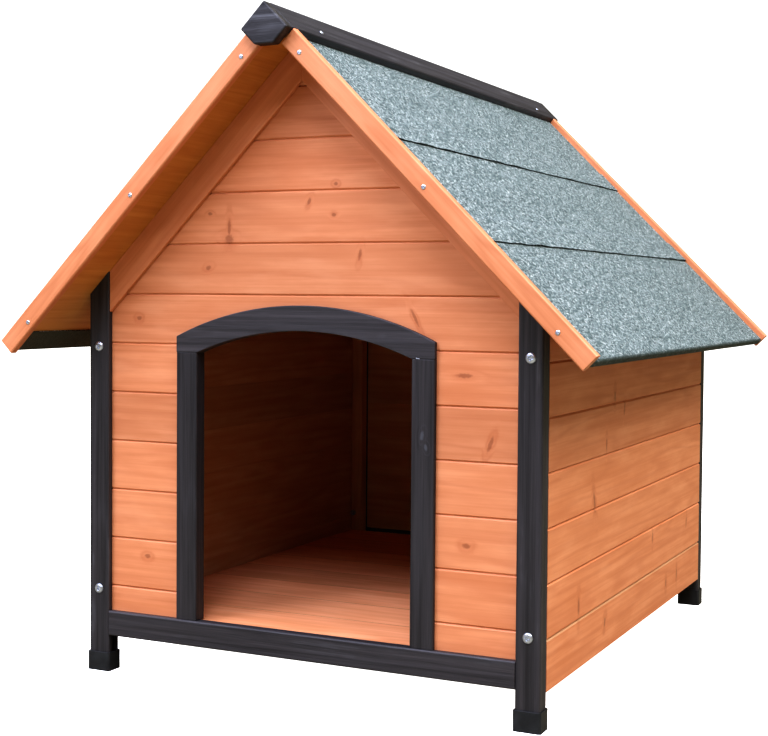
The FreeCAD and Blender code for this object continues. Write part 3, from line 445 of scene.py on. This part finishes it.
def felt(name, side):
    """Grey-green granules on bitumen, bare cut edges, and painted shade at the eave's fold."""
    made, tree, surface = new_material(name)
    point = add(tree, "TexCoord").outputs["Object"]
    cells = add(tree, "TexVoronoi", {"Vector": point, "Scale": GRANULES_PER_METRE})
    dice = add(tree, "SeparateColor", {0: cells.outputs["Color"]})
    shades = add(tree, "ValToRGB", {0: dice.outputs[0]})
    ramp = shades.color_ramp
    for stop, (position, tint) in zip(ramp.elements, (GRANULES[0], GRANULES[-1])):
        stop.position, stop.color = position, colour(*tint)
    for position, tint in GRANULES[1:-1]:
        ramp.elements.new(position).color = colour(*tint)
    clumps = add(tree, "TexNoise", {"Vector": point, "Scale": CLUMPS_PER_METRE, "Detail": 3.0,
                                    "Roughness": 0.7}).outputs[0]
    patchy = sum_of(tree, "MULTIPLY_ADD", clumps, 1.5, -0.45, clamp=True)
    mineral = tinted(tree, shades.outputs[0], FELT_CLUMP, patchy, 0.42)
    down, out = SLOPES[side]
    facing = add(tree, "NewGeometry").outputs["Normal"]
    upward = vector_sum(tree, "DOT_PRODUCT", facing, tuple(out), out=1)
    under = sum_of(tree, "LESS_THAN", upward, -FACES_TOWARDS)
    mineral = mix(tree, under, mineral, mix(tree, patchy, FELT_BACK, FELT_BACK_DUSTY))
    # The cut edges of the laps face down the slope. So does the fold at the eave, but it isn't cut.
    eave = max(vert.co.dot(down) for vert in timbers[side + "_lower_felt"].data.vertices)
    reach = vector_sum(tree, "DOT_PRODUCT", point, tuple(down), out=1)
    downhill = vector_sum(tree, "DOT_PRODUCT", facing, tuple(down), out=1)
    above_eave = sum_of(tree, "LESS_THAN", reach, eave - 0.004)
    cut = sum_of(tree, "MULTIPLY", above_eave, sum_of(tree, "GREATER_THAN", downhill, FACES_TOWARDS))
    mineral = mix(tree, cut, mineral, BITUMEN_CUT)
    # The ragged dark band along the eave's fold is painted shade.
    ragged = sum_of(tree, "MULTIPLY_ADD", clumps, 0.014, reach)
    fold_shade = sum_of(tree, "SUBTRACT", 1.0, fade(tree, ragged, eave, eave + 0.006))
    mineral = tinted(tree, mineral, BITUMEN_FOLD_SHADE, fold_shade, 0.80)
    tree.links.new(mineral, surface.inputs["Base Color"])
    surface.inputs["Roughness"].default_value = 0.82
    height = sum_of(tree, "MULTIPLY_ADD", cells.outputs["Distance"], -0.8, 0.8)
    height = sum_of(tree, "ADD", height, sum_of(tree, "MULTIPLY", clumps, 0.5))
    emboss(tree, surface, height, 0.6, 0.0012)
    return made


print("felt ready")

# %% [markdown]
# The foot caps are moulded in black plastic with a fine even grain and some dust. The fasteners are
# steel with a thin and cloudy coat of zinc.

# %% Materials: cap plastic and zinc


def cap_plastic():
    """Black plastic with the fine grain that a spark-eroded mould leaves, and dust."""
    made, tree, surface = new_material("cap_plastic")
    point = add(tree, "TexCoord").outputs["Object"]
    spark = add(tree, "TexNoise", {"Vector": point, "Scale": 900.0, "Detail": 2.0})
    dust = add(tree, "TexNoise", {"Vector": point, "Scale": 60.0, "Detail": 4.0})
    grime = sum_of(tree, "MULTIPLY_ADD", dust.outputs[0], 1.6, -0.6, clamp=True)
    tint = mix(tree, grime, colour(0.013, 0.014, 0.016), colour(0.036, 0.038, 0.040))
    tree.links.new(tint, surface.inputs["Base Color"])
    gloss = sum_of(tree, "MULTIPLY_ADD", dust.outputs[0], 0.25, 0.36)
    tree.links.new(gloss, surface.inputs["Roughness"])
    emboss(tree, surface, spark.outputs[0], 0.25, 0.0004)
    return made


def zinc_steel():
    """Steel with a cloudy, bluish coat of zinc."""
    made, tree, surface = new_material("zinc_steel")
    point = add(tree, "TexCoord").outputs["Object"]
    cloudy = add(tree, "TexNoise", {"Vector": point, "Scale": 420.0, "Detail": 3.0})
    tint = mix(tree, cloudy.outputs[0], colour(0.46, 0.50, 0.60), colour(0.78, 0.83, 0.93))
    tree.links.new(tint, surface.inputs["Base Color"])
    surface.inputs["Metallic"].default_value = 1.0
    gloss = sum_of(tree, "MULTIPLY_ADD", cloudy.outputs[0], 0.25, 0.22)
    tree.links.new(gloss, surface.inputs["Roughness"])
    emboss(tree, surface, cloudy.outputs[0], 0.15, 0.0002)
    return made


CAP_PLASTIC, ZINC = cap_plastic(), zinc_steel()
print(CAP_PLASTIC.name, ZINC.name)

# %% [markdown]
# The front wall's knots are the ones that a visitor sees first, so they are listed one by one, each
# as along, across, half length, half height and slant. The side wall's are mostly spikes that stand
# on a joint, and the right jamb has a double one. The other walls keep their stray ones.

# %% Place the knots
FRONT_KNOTS = [
    (0.258, 0.242, 0.007, 0.004, 0.0), (0.053, 0.741, 0.0035, 0.003, 0.0),
    (0.010, 0.717, 0.003, 0.006, 0.3), (-0.124, 0.664, 0.008, 0.008, 0.0),
    (-0.124, 0.681, 0.003, 0.014, 0.0), (-0.157, 0.702, 0.004, 0.0028, 0.0),
    (0.050, 0.697, 0.004, 0.003, 0.0), (-0.160, 0.622, 0.005, 0.004, 0.4),
    (-0.284, 0.546, 0.005, 0.0035, 0.0), (0.092, 0.641, 0.0028, 0.009, 0.15),
    (0.178, 0.553, 0.0028, 0.013, -0.5), (0.253, 0.475, 0.013, 0.0035, 0.0),
    (0.292, 0.383, 0.0035, 0.012, 0.35), (-0.268, 0.183, 0.006, 0.0036, 0.0),
]
SIDE_KNOTS = [
    (-0.127, 0.431, 0.004, 0.010, 0.0), (-0.075, 0.410, 0.003, 0.013, 0.2),
    (-0.167, 0.362, 0.003, 0.012, 0.0), (-0.224, 0.282, 0.005, 0.018, -0.25),
    (-0.293, 0.140, 0.005, 0.014, 0.0), (-0.166, 0.092, 0.005, 0.008, 0.2),
    (0.191, 0.086, 0.004, 0.008, 0.0), (0.264, 0.090, 0.004, 0.010, 0.0),
    (0.100, 0.180, 0.003, 0.009, 0.0), (0.330, 0.172, 0.003, 0.010, 0.2),
]
JAMB_KNOTS = [(0.390, 0.193, 0.007, 0.0035, 0.6), (0.374, 0.199, 0.005, 0.003, -0.5)]
print("knots placed:", len(FRONT_KNOTS), "in front,", len(SIDE_KNOTS), "on the side")

# %% [markdown]
# A row of joints starts where the construction model's lowest board ends, which is less than a whole
# board up. The floor is paler than the walls, and the decks are deeper in colour. Among the black
# timbers the rails are the palest, the plates at the ridge's ends are the darkest but the most
# rubbed, and the ridge boards are a little bluer.

# %% Make the honey-stained timbers' materials
COVER, END_JOINT, SIDE_JOINT, FLOOR_BOARDS = 0.075, 0.0385, 0.0705, 8
FLOOR_SHADE, DECK_SHADE = (1.36, 1.48, 1.52), (0.88, 0.92, 0.50)
end_row = (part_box("front_rail")[1][2] + END_JOINT, COVER)
side_row = (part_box("right_side_boards")[0][2] + SIDE_JOINT, COVER)
low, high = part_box("floor_boards")
floor_row = (low[1], (high[1] - low[1]) / FLOOR_BOARDS)
FRONT_HONEY = honey_timber("front_boards", ACROSS_HOUSE, end_row, FRONT_KNOTS, 0.10, wall=True)
REAR_HONEY = honey_timber("rear_boards", ACROSS_HOUSE, end_row, share=0.55, wall=True)
RIGHT_HONEY = honey_timber("right_boards", INTO_HOUSE, side_row, SIDE_KNOTS, 0.12, wall=True)
LEFT_HONEY = honey_timber("left_boards", INTO_HOUSE, side_row, share=0.55, wall=True)
FLOOR_HONEY = honey_timber("floor_boards", FLOORING, floor_row, (), 0.5, FLOOR_SHADE, seam=0.8)
UPRIGHT_HONEY = honey_timber("upright_battens", UPRIGHT, share=0.2, wall=True)
BEARER_HONEY = honey_timber("floor_bearers", INTO_HOUSE, share=0.2)
SLOPE_HONEY, DECK_HONEY = {}, {}
for side in SLOPES:
    SLOPE_HONEY[side] = honey_timber(side + "_slope_battens", DOWN_SLOPE[side], share=0.10)
    DECK_HONEY[side] = honey_timber(side + "_deck", ALONG_RIDGE[side], share=0.0, shade=DECK_SHADE)
print("a wall's board covers", COVER, "m, a floor board", round(floor_row[1], 4), "m")

# %% Make the other materials
RAIL_SHADE, PLATE_SHADE, RIDGE_SHADE = (1.3, 1.3, 1.3), (0.7, 0.7, 0.7), (0.90, 0.98, 1.22)
POST_BLACK = dark_timber("black_posts", UPRIGHT, rubbing=-3.45)
JAMB_BLACK = dark_timber("black_jambs", UPRIGHT, JAMB_KNOTS, 0.0)
RAIL_BLACK = dark_timber("black_rails", ACROSS_HOUSE, shade=RAIL_SHADE, rubbing=-3.35)
PLATE_BLACK = dark_timber("black_ridge_plates", ACROSS_HOUSE, shade=PLATE_SHADE, rubbing=-2.9)
RIDGE_BLACK, FELT = {}, {}
for side in SLOPES:
    RIDGE_BLACK[side] = dark_timber(side + "_ridge", ALONG_RIDGE[side], shade=RIDGE_SHADE,
                                    rubbing=-3.3)
    FELT[side] = felt(side + "_felt", side)
print(len(bpy.data.materials), "materials, with the construction model's own")

# %% [markdown]
# A planed timber never has a knife edge, and its rounded edges are what catch the light. The
# construction model's mesh is loose triangles, so a copy is merged, its flat faces are joined again,
# and then its long sharp edges are bevelled. The copy takes the place of the plain piece.

# %% Round the timbers' edges


def dress(piece, material):
    """Give a piece its material."""
    piece.data.materials.clear()
    piece.data.materials.append(material)
    return piece


def new_piece(name, mesh, material):
    """Turn a bmesh into a piece of the house."""
    data = bpy.data.meshes.new(name)
    mesh.to_mesh(data)
    mesh.free()
    piece = bpy.data.objects.new(name, data)
    bpy.context.scene.collection.objects.link(piece)
    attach(piece, "root")
    return dress(piece, material)


def merged_copy(node):
    """The node's mesh as a bmesh, with shared corners and whole flat faces."""
    mesh = bmesh.new()
    mesh.from_mesh(timbers[node].data)
    bmesh.ops.remove_doubles(mesh, verts=mesh.verts, dist=0.00001)
    bmesh.ops.dissolve_limit(mesh, angle_limit=math.radians(1), verts=mesh.verts, edges=mesh.edges)
    return mesh


def sharp_edges(mesh, shortest=0.006, least_turn=25):
    """The edges that are long enough to see and turn by more than some degrees."""
    return [edge for edge in mesh.edges if edge.is_manifold and edge.calc_length() > shortest
            and math.degrees(edge.calc_face_angle()) > least_turn]


def round_off(mesh, edges, radius, steps=2):
    """Give some edges of a mesh a round bevel."""
    bmesh.ops.bevel(mesh, geom=edges, offset=radius, offset_type="OFFSET", affect="EDGES",
                    segments=steps, profile=0.5, material=-1, clamp_overlap=True)


def rounded(node, material, radius=0.0007, steps=2):
    """Replace a plain timber with a copy whose long edges are rounded."""
    mesh = merged_copy(node)
    round_off(mesh, sharp_edges(mesh), radius, steps)
    piece = new_piece(node + "_dressed", mesh, material)
    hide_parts(node)
    return piece


ENDS, SIDES = ("front", "rear"), ("left", "right")
DOOR_EDGE, PLATE_EDGE, CAP_EDGE, FOLD_EDGE = 0.0012, 0.0022, 0.0005, 0.0009
for end in ENDS:
    rounded(end + "_rail", RAIL_BLACK)
    rounded(end + "_ridge_plate", PLATE_BLACK, PLATE_EDGE, 3)
    for side in SIDES:
        corner = end + "_" + side + "_"
        rounded(corner + "post", POST_BLACK)
        rounded(corner + "end_batten", UPRIGHT_HONEY)
        for timber in ("gable_batten", "roof_batten", "bargeboard"):
            rounded(corner + timber, SLOPE_HONEY[side])
        rounded(corner + "foot_cap", CAP_PLASTIC, CAP_EDGE)
for side in SIDES:
    rounded("door_" + side + "_jamb", JAMB_BLACK, DOOR_EDGE)
    rounded(side + "_ridge_board", RIDGE_BLACK[side])
header = rounded("door_header", RAIL_BLACK, DOOR_EDGE)
print("timbers and caps rounded, the header with", len(header.data.polygons), "faces")

# %% [markdown]
# A strip of felt was cut with a knife and has lain in the sun, so its lower edge is a little ragged
# and lifts here and there off the strip below. The copy is sliced across its length, and then the
# points of that edge are pushed along the slope and lifted by noise. The lowest strip folds round the
# deck's end instead, so it keeps its line and its folds are rounded.

# %% Roughen the felt's edges
FELT_SLICE = 0.006


def ragged_felt(side, strip):
    """Replace a felt strip by a copy whose lower edge wanders and lifts."""
    node = side + "_" + strip + "_felt"
    down, out = SLOPES[side]
    mesh = merged_copy(node)
    low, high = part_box(node)
    slices = int((high[1] - low[1]) / FELT_SLICE)
    for step in range(1, slices):
        cut = Vector((0.0, low[1] + (high[1] - low[1]) * step / slices, 0.0))
        everything = mesh.verts[:] + mesh.edges[:] + mesh.faces[:]
        bmesh.ops.bisect_plane(mesh, geom=everything, dist=0.00001, plane_co=cut,
                               plane_no=(0.0, 1.0, 0.0))
    edge = max(vert.co.dot(down) for vert in mesh.verts)
    for vert in mesh.verts:
        if vert.co.dot(down) > edge - 0.0005:
            wander = noise.noise((vert.co.y * 160, edge * 50, 0.0)) * 0.0011
            wander += noise.noise((vert.co.y * 24, edge * 50, 5.0)) * 0.0010
            lift = abs(noise.noise((vert.co.y * 11, edge * 50, 9.0))) * 0.0026
            vert.co += down * wander + out * lift
    piece = new_piece(node + "_dressed", mesh, FELT[side])
    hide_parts(node)
    return piece


for side in SIDES:
    for strip in ("upper", "middle"):
        print(ragged_felt(side, strip).name, "sliced and lifted")
    rounded(side + "_lower_felt", FELT[side], FOLD_EDGE, 3)

# %% [markdown]
# Every bolt and screw is turned about its own axis: a profile runs from the middle of the head over
# its dome and down the shank, and a spin carries it round. The recess's rings are then drawn in to a
# cross, for the driver. The thread is a row of grooves.

# %% Turn bolts, screws and nuts
BOLT_HEAD, BOLT_RISE, BOLT_SHANK, BOLT_PITCH = 0.0075, 0.0024, 0.0030, 0.0010
SCREW_HEAD, SCREW_RISE, SCREW_SHANK, SCREW_PITCH = 0.0035, 0.0014, 0.00175, 0.0016
STEPS_ROUND = 48


def turned(profile):
    """A closed solid of revolution about Z, from (radius, height) points."""
    mesh = bmesh.new()
    corners = [mesh.verts.new((radius, 0.0, height)) for radius, height in profile]
    edges = [mesh.edges.new(pair) for pair in zip(corners, corners[1:])]
    bmesh.ops.spin(mesh, geom=corners + edges, cent=(0, 0, 0), axis=(0, 0, 1), angle=math.tau,
                   steps=STEPS_ROUND, use_merge=True)
    bmesh.ops.remove_doubles(mesh, verts=mesh.verts, dist=0.000001)
    bmesh.ops.recalc_face_normals(mesh, faces=mesh.faces)
    return mesh


def draw_in(mesh, limit, low, high):
    """Pull every point between two heights in to the radius that limit gives for its angle."""
    for vert in mesh.verts:
        reach = math.hypot(vert.co.x, vert.co.y)
        if low < vert.co.z < high and reach > 0.0001:
            shrink = min(1.0, limit(math.atan2(vert.co.y, vert.co.x), reach) / reach)
            vert.co.x *= shrink
            vert.co.y *= shrink


def thread(radius, top, end, pitch):
    """Grooves from top down to end, as points of a profile."""
    grooves = []
    while top - pitch > end:
        grooves += [(radius, top), (radius * 0.83, top - pitch / 2)]
        top -= pitch
    return grooves


def headed(head, rise, shank, length, plain, pitch):
    """A domed head with a cross recess, on a shank that is threaded below its plain part."""
    rim, floor = head * 0.52, head * 0.36
    profile = [(0.0, rise * 0.14), (floor, rise * 0.22), (rim, rise * 0.97), (head * 0.60, rise),
               (head * 0.76, rise * 0.86), (head * 0.90, rise * 0.56), (head * 0.98, rise * 0.22),
               (head, 0.0), (shank, 0.0)]
    profile += thread(shank, -plain, -length + shank, pitch)
    mesh = turned(profile + [(shank * 0.5, -length), (0.0, -length)])

    def cross(angle, reach):
        arm = reach * 0.26 / max(min(abs(math.sin(angle)), abs(math.cos(angle))), 0.01)
        return arm if reach < head * 0.55 else reach

    draw_in(mesh, cross, rise * 0.18, rise * 1.1)
    return mesh


def hexagon_nut(width, height, bore):
    """A nut whose corners are chamfered, with the bolt's hole through it."""
    corner, flat = width / 2 / math.cos(math.pi / 6), width / 2
    profile = [(bore, height * 0.1), (bore * 1.15, 0.0), (flat, 0.0), (corner, height * 0.13),
               (corner, height * 0.87), (flat, height), (bore * 1.15, height), (bore, height * 0.9)]
    mesh = turned(profile + profile[:1])

    def six_sides(angle, reach):
        return flat / math.cos((angle % (math.pi / 3)) - math.pi / 6)

    draw_in(mesh, six_sides, -1.0, 1.0)
    return mesh


print("bolt, screw and nut can be turned")

# %% [markdown]
# The heads sit where the construction model has them. Its boxes give the corners of each group, and
# the places between are even. Each fastener stops at its own angle, as a driver leaves it. Where the
# construction model has a plain node of that name, the new piece takes its place.

# %% Set the fasteners in their places


def set_in(node, shape, spots, outward):
    """Copy one small steel solid to each spot, with its head facing outward."""
    whole = bmesh.new()
    aim = Vector(outward).to_track_quat("Z", "Y").to_matrix().to_4x4()
    for edge in shape.edges:
        edge.smooth = edge.is_manifold and edge.calc_face_angle() < math.radians(32)
    for face in shape.faces:
        face.smooth = True
    for spot in spots:
        turn = Matrix.Rotation(random.uniform(0.0, math.pi), 4, "Z")
        one = shape.copy()
        bmesh.ops.transform(one, matrix=Matrix.Translation(spot) @ aim @ turn, verts=one.verts)
        data = bpy.data.meshes.new("one")
        one.to_mesh(data)
        one.free()
        whole.from_mesh(data)
        bpy.data.meshes.remove(data)
    piece = new_piece(node + "_dressed", whole, ZINC)
    if node in timbers:
        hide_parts(node)


def inset_corners(low, high, inset):
    """The four corners of a box in X and Z, drawn in by the inset."""
    return [(x, z) for x in (low[0] + inset, high[0] - inset)
            for z in (low[2] + inset, high[2] - inset)]


for end, toward in (("front", -1), ("rear", 1)):
    low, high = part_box(end + "_bolts")
    face = (low[1] if end == "front" else high[1]) - toward * BOLT_RISE
    length = high[1] - low[1] - BOLT_RISE
    bolt = headed(BOLT_HEAD, BOLT_RISE, BOLT_SHANK, length, length * 0.6, BOLT_PITCH)
    corners = inset_corners(low, high, BOLT_HEAD)
    set_in(end + "_bolts", bolt, [(x, face, z) for x, z in corners], (0, toward, 0))
    low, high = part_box(end + "_nuts")
    inner = low[1] if end == "front" else high[1]
    across_flats = 2 * (corners[0][1] - low[2])
    nut = hexagon_nut(across_flats, high[1] - low[1], BOLT_SHANK * 1.02)
    set_in(end + "_nuts", nut, [(x, inner, z) for x, z in corners], (0, -toward, 0))
    for side in SIDES:
        node = end + "_" + side + "_bargeboard_screws"
        low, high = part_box(node)
        upper, lower = Vector((high[0], 0, high[2])), Vector((low[0], 0, low[2]))
        if side == "right":
            upper.x, lower.x = low[0], high[0]
        slant = Vector((math.copysign(SCREW_HEAD, lower.x - upper.x), 0, -SCREW_HEAD))
        upper, lower = upper + slant, lower - slant
        face = (low[1] if end == "front" else high[1]) - toward * SCREW_RISE
        spots = [upper.lerp(lower, share) + Vector((0, face, 0)) for share in (0.0, 0.5, 1.0)]
        length = high[1] - low[1] - SCREW_RISE
        screw = headed(SCREW_HEAD, SCREW_RISE, SCREW_SHANK, length, length * 0.3, SCREW_PITCH)
        set_in(node, screw, spots, (0, toward, 0))
print("bolts, nuts and bargeboard screws are in")

# %% [markdown]
# The ridge screws stand at right angles to the slope, so their box doesn't give their length.

# %% The screws down the ridge
RIDGE = Vector((0.0, 0.0, ROOF_TOP))
RIDGE_SCREW_LENGTH, RIDGE_SCREW_PLAIN = 0.020, 0.006
for side in SIDES:
    node = side + "_ridge_screws"
    low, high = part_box(node)
    down, out = SLOPES[side]
    corner = Vector((high[0] if side == "right" else low[0], 0.0, high[2]))
    seat = RIDGE + down * (corner - RIDGE).dot(down)
    screw = headed(SCREW_HEAD, SCREW_RISE, SCREW_SHANK, RIDGE_SCREW_LENGTH, RIDGE_SCREW_PLAIN,
                   SCREW_PITCH)
    spots = [seat + Vector((0.0, y, 0.0)) for y in (low[1] + SCREW_HEAD, high[1] - SCREW_HEAD)]
    set_in(node, screw, spots, out)
print("ridge screws are in")

# %% [markdown]
# Staples hold the felt where it turns in under the deck's end, and one bridges the joint between the
# header and the right jamb. A staple is a flattened wire bent to a U. Its legs are in the timber, so
# only the crown shows.

# %% Drive the staples
FELT_CROWN, JOINT_CROWN, WIRE, LEG = 0.0100, 0.0055, 0.0012, 0.0060


def staple(crown):
    """A staple with its crown up, as a bent outline that is thickened and rounded."""
    mesh = bmesh.new()
    half, inner = crown / 2, crown / 2 - WIRE
    outline = [(-half, -LEG), (-half, WIRE * 0.6), (half, WIRE * 0.6), (half, -LEG), (inner, -LEG),
               (inner, -WIRE * 0.3), (-inner, -WIRE * 0.3), (-inner, -LEG)]
    face = mesh.faces.new([mesh.verts.new((x, -WIRE / 2, z)) for x, z in outline])
    grown = bmesh.ops.extrude_face_region(mesh, geom=[face])
    moved = [item for item in grown["geom"] if isinstance(item, bmesh.types.BMVert)]
    bmesh.ops.translate(mesh, verts=moved, vec=(0.0, WIRE, 0.0))
    bmesh.ops.recalc_face_normals(mesh, faces=mesh.faces)
    round_off(mesh, sharp_edges(mesh, 0.0008), 0.00025)
    return mesh


EAVE_INSET, STAPLE_STEP, FIRST_STAPLE, JOINT_INSET, JOINT_RISE = 0.032, 0.145, 0.015, 0.010, 0.001
for side in SIDES:
    down, out = SLOPES[side]
    node = side + "_lower_felt"
    eave = min((vert.co for vert in timbers[node].data.vertices), key=lambda point: point.z)
    front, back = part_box(node)[0][1] + FIRST_STAPLE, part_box(node)[1][1] - FIRST_STAPLE
    count = round((back - front) / STAPLE_STEP)
    spots = [Vector((eave.x, front + (back - front) * step / count, eave.z)) - down * EAVE_INSET
             for step in range(count + 1)]
    set_in(side + "_felt_staples", staple(FELT_CROWN), spots, -out)
header_low, jamb_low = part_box("door_header")[0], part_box("door_right_jamb")[0]
joint = Vector((jamb_low[0] + JOINT_INSET, header_low[1], header_low[2] + JOINT_RISE))
set_in("door_joint_staple", staple(JOINT_CROWN), [joint], (0, -1, 0))
print("staples are in")

# %% [markdown]
# The boards' tongues and grooves are already in the construction model, and their chamfered joints
# are what shows. They keep their own mesh and take only a material, and so do the hidden battens.

# %% Stain the boards, the floor and the decks
STAINED = [
    ("front_boards", FRONT_HONEY, "board_timber"), ("rear_boards", REAR_HONEY, "board_timber"),
    ("right_side_boards", RIGHT_HONEY, "board_timber"),
    ("left_side_boards", LEFT_HONEY, "board_timber"),
    ("floor_boards", FLOOR_HONEY, "floor_timber"), ("floor_bearers", BEARER_HONEY, "floor_timber"),
    ("left_floor_ledger", BEARER_HONEY, "floor_timber"),
    ("right_floor_ledger", BEARER_HONEY, "floor_timber"),
    ("left_roof_deck", DECK_HONEY["left"], "deck_timber"),
    ("right_roof_deck", DECK_HONEY["right"], "deck_timber"),
]
for node, material, slot in STAINED:
    dress(timbers[node], material)
print(len(STAINED), "groups of boards, ledgers and decks have their finish")

# %% [markdown]
# The photograph's background is plain white with no shadow. The light path tells which rays come
# from the camera, and to those the floor and the sky are white. To all other rays the floor is a dim
# warm grey and the sky a weak warm glow, so that little light comes up from below.

# %% Floor and sky
WHITE, FLOOR_WHITE = colour(1.0, 1.0, 1.0), colour(0.95, 0.95, 0.95)
FLOOR_DIM, SKY_WARM, SKY_STRENGTH = colour(0.28, 0.255, 0.175), colour(1.0, 0.89, 0.62), 0.30
scene = bpy.context.scene
scene.view_settings.view_transform = "Standard"
scene.view_settings.look = "High Contrast"
mesh = bmesh.new()
bmesh.ops.create_grid(mesh, x_segments=1, y_segments=1, size=14.0)
data = bpy.data.meshes.new("floor")
mesh.to_mesh(data)
mesh.free()
ground = bpy.data.objects.new("studio_floor", data)
scene.collection.objects.link(ground)
paper, tree, surface = new_material("studio_floor")
seen = add(tree, "LightPath").outputs["Is Camera Ray"]
tree.links.new(mix(tree, seen, FLOOR_DIM, FLOOR_WHITE), surface.inputs["Base Color"])
surface.inputs["Roughness"].default_value = 0.9
tree.links.new(seen, surface.inputs["Emission Strength"])
surface.inputs["Emission Color"].default_value = WHITE
ground.data.materials.append(paper)

world = bpy.data.worlds.new("even_sky")
world.use_nodes = True
tree = world.node_tree
sky = tree.nodes["Background"]
seen = add(tree, "LightPath").outputs["Is Camera Ray"]
strength = sum_of(tree, "MULTIPLY_ADD", seen, 1.0 - SKY_STRENGTH, SKY_STRENGTH)
tree.links.new(mix(tree, seen, SKY_WARM, WHITE), sky.inputs["Color"])
tree.links.new(strength, sky.inputs["Strength"])
scene.world = world
print("floor and sky are white to the camera")

# %% [markdown]
# The lamps are large and soft. Two stand high on the left and one high on the right, so the eaves
# throw soft shade down the walls. One in front reaches in at the doorway, and one lights the back.
# Those in front and on the left are bluer than the one on the right, which brings the boards' colours
# close to the photograph's.

# %% Lamps


def soft_lamp(name, spot, target, size, power, tint):
    """A round area lamp at a spot, aimed at a target."""
    lamp = bpy.data.lights.new(name, "AREA")
    lamp.shape = "DISK"
    lamp.size = size
    lamp.energy = power
    lamp.color = tint
    holder = bpy.data.objects.new(name, lamp)
    holder.location = spot
    holder.rotation_euler = (Vector(target) - Vector(spot)).to_track_quat("-Z", "Y").to_euler()
    scene.collection.objects.link(holder)


COOL, WARM, PLAIN = (0.95, 1.03, 1.37), (0.99, 1.0, 1.06), (1.0, 1.0, 1.0)
LAMP_TARGET = (0.0, 0.0, 0.4)
LAMPS = [
    ("key_lamp", (-1.8, -3.7, 3.1), 2.6, 61, COOL),
    ("high_left_lamp", (-1.7, -2.4, 4.2), 3.0, 91, COOL),
    ("high_right_lamp", (2.8, -0.6, 4.2), 3.0, 195, WARM),
    ("front_lamp", (1.2, -3.6, 3.9), 2.2, 98, COOL),
    ("back_lamp", (-2.8, 2.8, 2.4), 3.0, 75, PLAIN),
]
for name, spot, size, power, tint in LAMPS:
    soft_lamp(name, spot, LAMP_TARGET, size, power, tint)
print(len(LAMPS), "lamps")

# %% [markdown]
# The camera stands in front of the doorway and to its right, just above the height of its arch. Its
# lens is shifted slightly, because the picture's centre isn't where the camera points.

# %% Camera
CAMERA_SPOT, CAMERA_TURN = (0.99873, -2.21919, 0.58528), (87.9794, -0.4545, 25.1637)
lens = bpy.data.cameras.new("camera")
lens.sensor_fit = "HORIZONTAL"
lens.sensor_width = 36.0
lens.lens = 66.3
lens.shift_x, lens.shift_y = -0.0293, -0.0310
camera = bpy.data.objects.new("camera", lens)
camera.location = CAMERA_SPOT
camera.rotation_euler = [math.radians(angle) for angle in CAMERA_TURN]
scene.collection.objects.link(camera)
scene.camera = camera
print("camera", round(camera.location.length, 2), "m from the house's middle")
